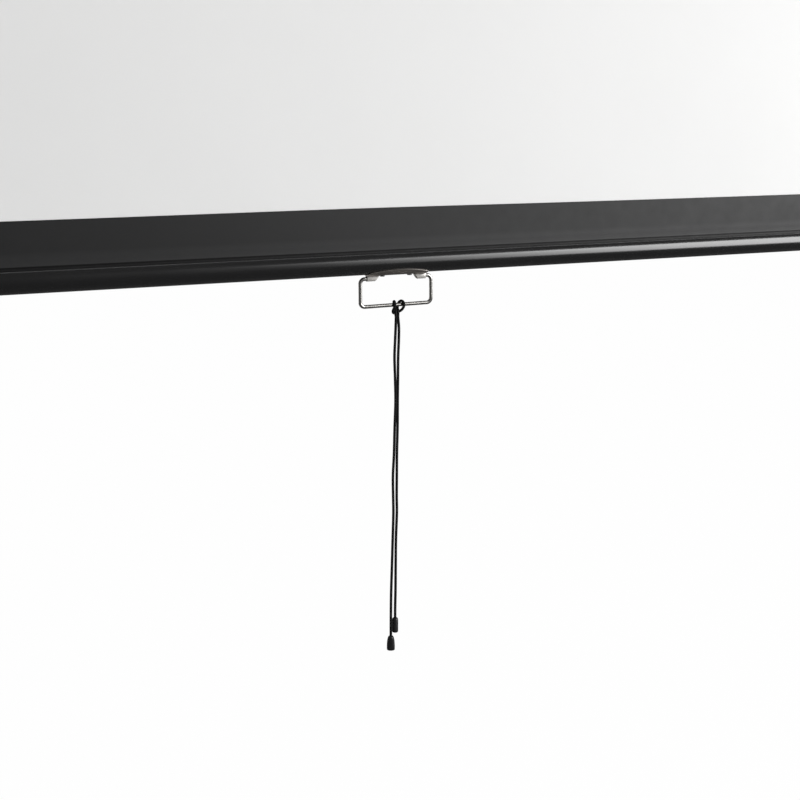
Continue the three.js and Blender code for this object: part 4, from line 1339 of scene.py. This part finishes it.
class SCREEN_OT_screws(Operator):
    """Drive the screws of the saddle, the case and the wall brackets"""

    bl_idname = "screen_model.screws"
    bl_label = "Screws"

    def execute(self, context):
        patterns = [pan_screw(*sizes) for sizes in (SADDLE_SCREW, CASE_SCREW, BRACKET_SCREW)]
        saddle, case, bracket = patterns
        for side, hand in SIDES:
            self.drive(saddle, f"saddle_screw_{hand}", "bar", "Z", -1)
            self.drive(case, f"case_screw_{hand}_top", "case", "Z", 1)
            self.drive(case, f"case_screw_{hand}_bottom", "case", "Z", -1)
            for level in ("upper", "lower"):
                self.drive(bracket, f"bracket_screw_{hand}_{level}", "case", "X", side)
        for pattern in patterns:
            bpy.data.objects.remove(pattern)
        return {"FINISHED"}

    def drive(self, pattern, node, body, axis, way):
        """Puts a copy of a screw where its node lies, its head at one end of its axis."""
        screw = copy_of(pattern)
        top = max(vertex.co.z for vertex in screw.data.vertices)
        at, index = middle_of(node), AXES.index(axis)
        at[index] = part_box(node)[way > 0][index] - way * top
        turns = {"X": (0.5, way * math.pi / 2, 0), "Z": (0 if way > 0 else math.pi, 0, 0.4)}
        place(screw, at, turns[axis])
        finished(screw, node.replace("screw", "fixing"), body, "zinc_steel", node)


# Case

CASE_HOLE_REACH = 6 * MM
# How much the edges of folded sheet and of the moulded caps are rounded
FOLD_SOFTNESS = 0.35 * MM
CAP_SOFTNESS = 0.4 * MM


def slot_sides(room=0.0):
    """The front and the rear of the slot that the fabric leaves by."""
    middle, half = middle_of("screen_fabric").y, settings().case.slot_width / 2 + room
    return middle - half, middle + half


class SCREEN_OT_case(Operator):
    """Fold the steel case with its slot and turned-up lips, open at both ends"""

    bl_idname = "screen_model.case"
    bl_label = "Case"

    def execute(self, context):
        sizes = settings().case
        low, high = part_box("case_shell")
        lips = slot_sides()
        under = low.z + CLOSE
        case = rounded_box(low, high, sizes.corner)
        edit(case)
        choose(case, "FACE", lambda part, spot: abs(part.normal.x) > FACING)
        bpy.ops.mesh.delete(type="FACE")
        for line in lips:
            select_all()
            bpy.ops.mesh.bisect(plane_co=(0, line, 0), plane_no=(0, 1, 0))
        choose(case, "FACE", lambda part, spot: spot.z < under and lips[0] < spot.y < lips[1])
        bpy.ops.mesh.delete(type="FACE")
        choose(
            case, "EDGE", lambda part, spot: part.is_boundary and spot.z < under
            and run_x(part) > (high.x - low.x) / 2
            and min(abs(spot.y - line) for line in lips) < CLOSE
        )
        extrude((0, 0, sizes.slot_lip))
        leave(case)
        thicken(case, sizes.wall, -1.0)
        for end in ("top", "bottom"):
            for _, hand in SIDES:
                at = middle_of(f"case_screw_{hand}_{end}")
                span = (at.z - CASE_HOLE_REACH, at.z + CASE_HOLE_REACH)
                cut(case, rod("Z", SCREW_HOLE, at, span, HOLE_SIDES))
        soften(case, FOLD_SOFTNESS)
        finished(case, "case_housing", "case", "case_paint", "case_shell")
        return {"FINISHED"}


# The end caps' outer rim and the step to their sunk face
CAP_RIM = 6 * MM
CAP_STEP = 0.6 * MM
# The round pads behind the plate that the brackets' screws bite in
PAD_RADIUS = 4.4 * MM
PAD_LENGTH = 9 * MM
PAD_LAP = 0.5 * MM
PAD_HOLE = 12 * MM
PAD_SIDES = 32


class SCREEN_OT_end_caps(Operator):
    """Mould the two end caps that close the case"""

    bl_idname = "screen_model.end_caps"
    bl_label = "End Caps"

    def execute(self, context):
        sizes = settings().case
        front, rear = slot_sides(sizes.wall + sizes.fit)
        for side, hand in SIDES:
            node = f"end_cap_{hand}"
            low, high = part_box(node)
            outer = end_of(node, side)
            face = outer - side * sizes.cap_plate
            cap = rounded_box((outer, low.y, low.z), (face, high.y, high.z), sizes.corner)
            edit(cap)
            choose(cap, "FACE", faces_at(face))
            bpy.ops.mesh.inset(thickness=sizes.wall + sizes.fit)
            extrude((-side * sizes.cap_plug, 0, 0))
            bpy.ops.mesh.inset(thickness=sizes.cap_wall)
            extrude((side * sizes.cap_plug, 0, 0))
            choose(cap, "FACE", faces_at(outer))
            bpy.ops.mesh.inset(thickness=CAP_RIM)
            bpy.ops.mesh.inset(thickness=CAP_STEP)
            bpy.ops.transform.translate(value=(-side * CAP_STEP, 0, 0))
            leave(cap)
            past = face - side * (sizes.cap_plug + THROUGH)
            lip = low.z + sizes.slot_lip + sizes.fit
            cut(cap, block((face, front, low.z - THROUGH), (past, rear, lip)))
            for level in ("upper", "lower"):
                at = middle_of(f"bracket_screw_{hand}_{level}")
                pad = (face - side * PAD_LENGTH, face + side * PAD_LAP)
                join(cap, rod("X", PAD_RADIUS, at, pad, PAD_SIDES))
                hole = (face - side * PAD_HOLE, outer + side * THROUGH)
                cut(cap, rod("X", SCREW_HOLE, at, hole, HOLE_SIDES))
            soften(cap, CAP_SOFTNESS)
            finished(cap, f"housing_cap_{hand}", "case", "cap_plastic", node)
        return {"FINISHED"}


FLANGE_CORNER = 4 * MM
HEAD_SIDES = 40
NECK_SIDES = 32


def flange(corner, opposite, outer, sheet):
    """A bracket's flange, whose two outer corners are rounded."""
    made = block(corner, opposite)
    edit(made)
    choose(
        made, "EDGE", lambda part, spot: abs(spot.x - outer) < CLOSE
        and (part.verts[0].co - part.verts[1].co).length < sheet * 1.01
    )
    bpy.ops.mesh.bevel(offset=FLANGE_CORNER, segments=5, affect="EDGES")
    return leave(made)


class SCREEN_OT_brackets(Operator):
    """Fold the two wall brackets with their keyholes and ceiling slots"""

    bl_idname = "screen_model.brackets"
    bl_label = "Wall Brackets"

    def execute(self, context):
        sizes = settings().case
        sheet, relief = sizes.bracket_sheet, sizes.flange_relief
        for side, hand in SIDES:
            node = f"wall_bracket_{hand}"
            low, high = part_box(node)
            inner, outer = end_of(node, -side), end_of(node, side)
            folded = inner + side * sheet
            bracket = block((inner, low.y, low.z), (folded, high.y, high.z))
            wall = ((inner, high.y - sheet, low.z), (outer, high.y, high.z - relief))
            top = ((inner, low.y, high.z - sheet), (outer, high.y - sheet - relief, high.z))
            join(bracket, *(flange(*corners, outer, sheet) for corners in (wall, top)))
            middle = (folded + outer) / 2
            self.cut_keyhole(bracket, middle, high.y)
            self.cut_slot(bracket, middle, (low.y + high.y - sheet - relief) / 2, high.z)
            for level in ("upper", "lower"):
                at = middle_of(f"bracket_screw_{hand}_{level}")
                span = (inner - side * THROUGH, folded + side * THROUGH)
                cut(bracket, rod("X", SCREW_HOLE, at, span, HOLE_SIDES))
            soften(bracket, FOLD_SOFTNESS)
            finished(bracket, f"wall_plate_{hand}", "case", "bracket_paint", node)
        return {"FINISHED"}

    def cut_keyhole(self, bracket, x, wall):
        """A round hole with a narrow neck above it, through the flange on the wall."""
        sizes = settings().case
        rise, neck = sizes.keyhole_rise, sizes.keyhole_neck / 2
        span = (wall - sizes.bracket_sheet - THROUGH, wall + THROUGH)
        cut(
            bracket, rod("Y", sizes.keyhole_head / 2, (x, 0, 0), span, HEAD_SIDES),
            rod("Y", neck, (x, 0, rise), span, NECK_SIDES),
            block((x - neck, span[0], 0), (x + neck, span[1], rise)),
        )

    def cut_slot(self, bracket, x, y, ceiling):
        """A slot with round ends, through the flange under the ceiling."""
        sizes = settings().case
        half = sizes.ceiling_slot_width / 2
        reach = sizes.ceiling_slot_length / 2 - half
        span = (ceiling - sizes.bracket_sheet - THROUGH, ceiling + THROUGH)
        cut(
            bracket, block((x - half, y - reach, span[0]), (x + half, y + reach, span[1])),
            *(rod("Z", half, (x, y + end, 0), span, NECK_SIDES) for end in (-reach, reach)),
        )


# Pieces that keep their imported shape, with the finish of each
INNER_LOOKS = {
    "roller_aluminium": ("roller_tube",),
    "nylon": (
        "roller_spline", "hem_spline", "ratchet_head", "idler_plug", "idler_bush", "spring_anchor",
    ),
    "zinc_steel": ("idler_pin", "pawl_pin_upper", "pawl_pin_lower", "spear_socket"),
    "spring_steel": ("pawl_upper", "pawl_lower", "ratchet_wheel", "spring_rod", "torsion_spring"),
}


class SCREEN_OT_inner_finishes(Operator):
    """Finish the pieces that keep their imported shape: roller, plugs, ratchet and spring"""

    bl_idname = "screen_model.inner_finishes"
    bl_label = "Inner Finishes"

    def execute(self, context):
        looks = {node: look for look, nodes in INNER_LOOKS.items() for node in nodes}
        for node, obj in sorted(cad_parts.items()):
            if obj.hide_render:
                continue
            if not obj.material_slots:
                obj.data.materials.append(None)
            for holder in obj.material_slots:
                holder.material = finish(looks[node])
        return {"FINISHED"}


# Stage

FLOOR_HEIGHT = -2.05
FLOOR_SIZE = 16.0
FLOOR_COLOUR = (0.82, 0.82, 0.82)
FLOOR_ROUGHNESS = 0.9
FLOOR_SEEN_WHITE = 0.985
WORLD_LIGHT = 0.44
# In gloss the white backdrop stands straight behind the screen, and the room round it is dark,
# least so at its ceiling
ROOM_IN_GLOSS = 0.09
CEILING_IN_GLOSS = 0.13
BEHIND = (0.9, 0.995)
FLOOR_BEHIND = (3.0, 5.0)
SOFTBOX_AZIMUTH = 132
SOFTBOX_ELEVATION = 11.7
SOFTBOX_DISTANCE = 4.0
SOFTBOX_SIZE = (3.5, 3.18)
SOFTBOX_POWER = 202
# Where the softbox's light starts and is full, as shares of its width and height
SOFTBOX_SIDE_FADE = (-0.02, 0.52)
SOFTBOX_FOOT_FADE = (0.0, 0.2)


def seen(tree):
    """1 for what gloss shows, and 1 for what the camera sees straight or through glass."""
    path = tree.add("LightPath").outputs
    direct = tree.math("MAXIMUM", path["Is Camera Ray"], path["Is Transmission Ray"])
    return path["Is Glossy Ray"], direct


def gloss_level(tree, vector, behind):
    """How bright gloss shows the surroundings: white behind the screen, dark in front of it."""
    _, depth, height = tree.parts(vector)
    room = tree.toward(height, ROOM_IN_GLOSS, CEILING_IN_GLOSS)
    return tree.spread(depth, room, 1.0, *behind, interpolation_type="SMOOTHSTEP")


class SCREEN_OT_stage(Operator):
    """Lay the pale floor, hang the soft light and set the white background"""

    bl_idname = "screen_model.stage"
    bl_label = "Stage"

    def execute(self, context):
        self.floor()
        self.world(context)
        self.softbox(context)
        context.scene.view_settings.view_transform = "Standard"
        return {"FINISHED"}

    def floor(self):
        deselect()
        bpy.ops.mesh.primitive_plane_add(size=FLOOR_SIZE, location=(0, 0, FLOOR_HEIGHT))
        floor = bpy.context.object
        floor.name = "floor"
        tree = Tree("floor", FLOOR_COLOUR, FLOOR_ROUGHNESS)
        mirrored, direct = seen(tree)
        level = gloss_level(tree, tree.add("NewGeometry").outputs["Position"], FLOOR_BEHIND)
        glow = tree.add("Emission", {"Strength": tree.toward(mirrored, 1.0, level)})
        share = tree.toward(direct, mirrored, FLOOR_SEEN_WHITE)
        mix = tree.add("MixShader", {0: share, 1: tree.shader.outputs[0], 2: glow.outputs[0]})
        tree.feed(tree.nodes["Material Output"].inputs["Surface"], mix.outputs[0])
        floor.data.materials.append(tree.material)

    def world(self, context):
        world = bpy.data.worlds.new("studio")
        context.scene.world = world
        tree = Nodes(world)
        background = tree.nodes["Background"].inputs
        tree.feed(background["Color"], (1, 1, 1))
        mirrored, direct = seen(tree)
        level = gloss_level(tree, tree.add("TexCoord").outputs["Generated"], BEHIND)
        lit = tree.toward(mirrored, WORLD_LIGHT, level)
        tree.feed(background["Strength"], tree.toward(direct, lit, 1.0))

    def softbox(self, context):
        towards = direction(SOFTBOX_AZIMUTH, SOFTBOX_ELEVATION)
        data = bpy.data.lights.new("softbox", "AREA")
        data.shape = "RECTANGLE"
        data.size, data.size_y = SOFTBOX_SIZE
        data.energy = SOFTBOX_POWER
        tree = Nodes(data)
        places = tree.parts(tree.add("NewGeometry").outputs["Parametric"])
        fades = [
            tree.spread(place, 0.0, 1.0, *fade, interpolation_type="SMOOTHSTEP")
            for place, fade in zip(places, (SOFTBOX_SIDE_FADE, SOFTBOX_FOOT_FADE))
        ]
        tree.feed(tree.nodes["Emission"].inputs["Strength"], tree.math("MULTIPLY", *fades))
        light = bpy.data.objects.new("softbox", data)
        context.scene.collection.objects.link(light)
        light.location = bar_middle() + towards * SOFTBOX_DISTANCE
        light.rotation_euler = towards.to_track_quat("Z", "Y").to_euler()


class SCREEN_PT_build(Panel):
    """Builds the screen, piece by piece"""

    bl_idname = "SCREEN_PT_build"
    bl_label = "Projection Screen"
    bl_space_type = "VIEW_3D"
    bl_region_type = "UI"
    bl_category = "Screen"

    def draw(self, context):
        layout = self.layout
        for step in STEPS:
            layout.operator(step.bl_idname)
        for group in ("fabric", "case", "bar", "handle", "cord", "colours"):
            box = layout.box()
            box.label(text=group.title())
            part = getattr(context.scene.projection_screen, group)
            for name in part.__annotations__:
                box.prop(part, name)


GROUPS = (FabricSizes, CaseSizes, BarSizes, HandleSizes, CordSizes, FinishColours, ScreenSettings)
STEPS = (
    SCREEN_OT_camera,
    SCREEN_OT_pull_cord,
    SCREEN_OT_rolled_fabric,
    SCREEN_OT_fabric,
    SCREEN_OT_lower_border,
    SCREEN_OT_bottom_bar,
    SCREEN_OT_saddle,
    SCREEN_OT_bail,
    SCREEN_OT_screws,
    SCREEN_OT_case,
    SCREEN_OT_end_caps,
    SCREEN_OT_brackets,
    SCREEN_OT_inner_finishes,
    SCREEN_OT_stage,
)


def register():
    for cls in (*GROUPS, *STEPS, SCREEN_PT_build):
        bpy.utils.register_class(cls)
    bpy.types.Scene.projection_screen = PointerProperty(type=ScreenSettings)


def unregister():
    del bpy.types.Scene.projection_screen
    for cls in reversed((*GROUPS, *STEPS, SCREEN_PT_build)):
        bpy.utils.unregister_class(cls)


def main():
    register()
    for step in STEPS:
        family, name = step.bl_idname.split(".")
        result = getattr(getattr(bpy.ops, family), name)()
        if "FINISHED" not in result:
            raise RuntimeError(f"{step.bl_label} was not finished")


if __name__ == "__main__":
    main()
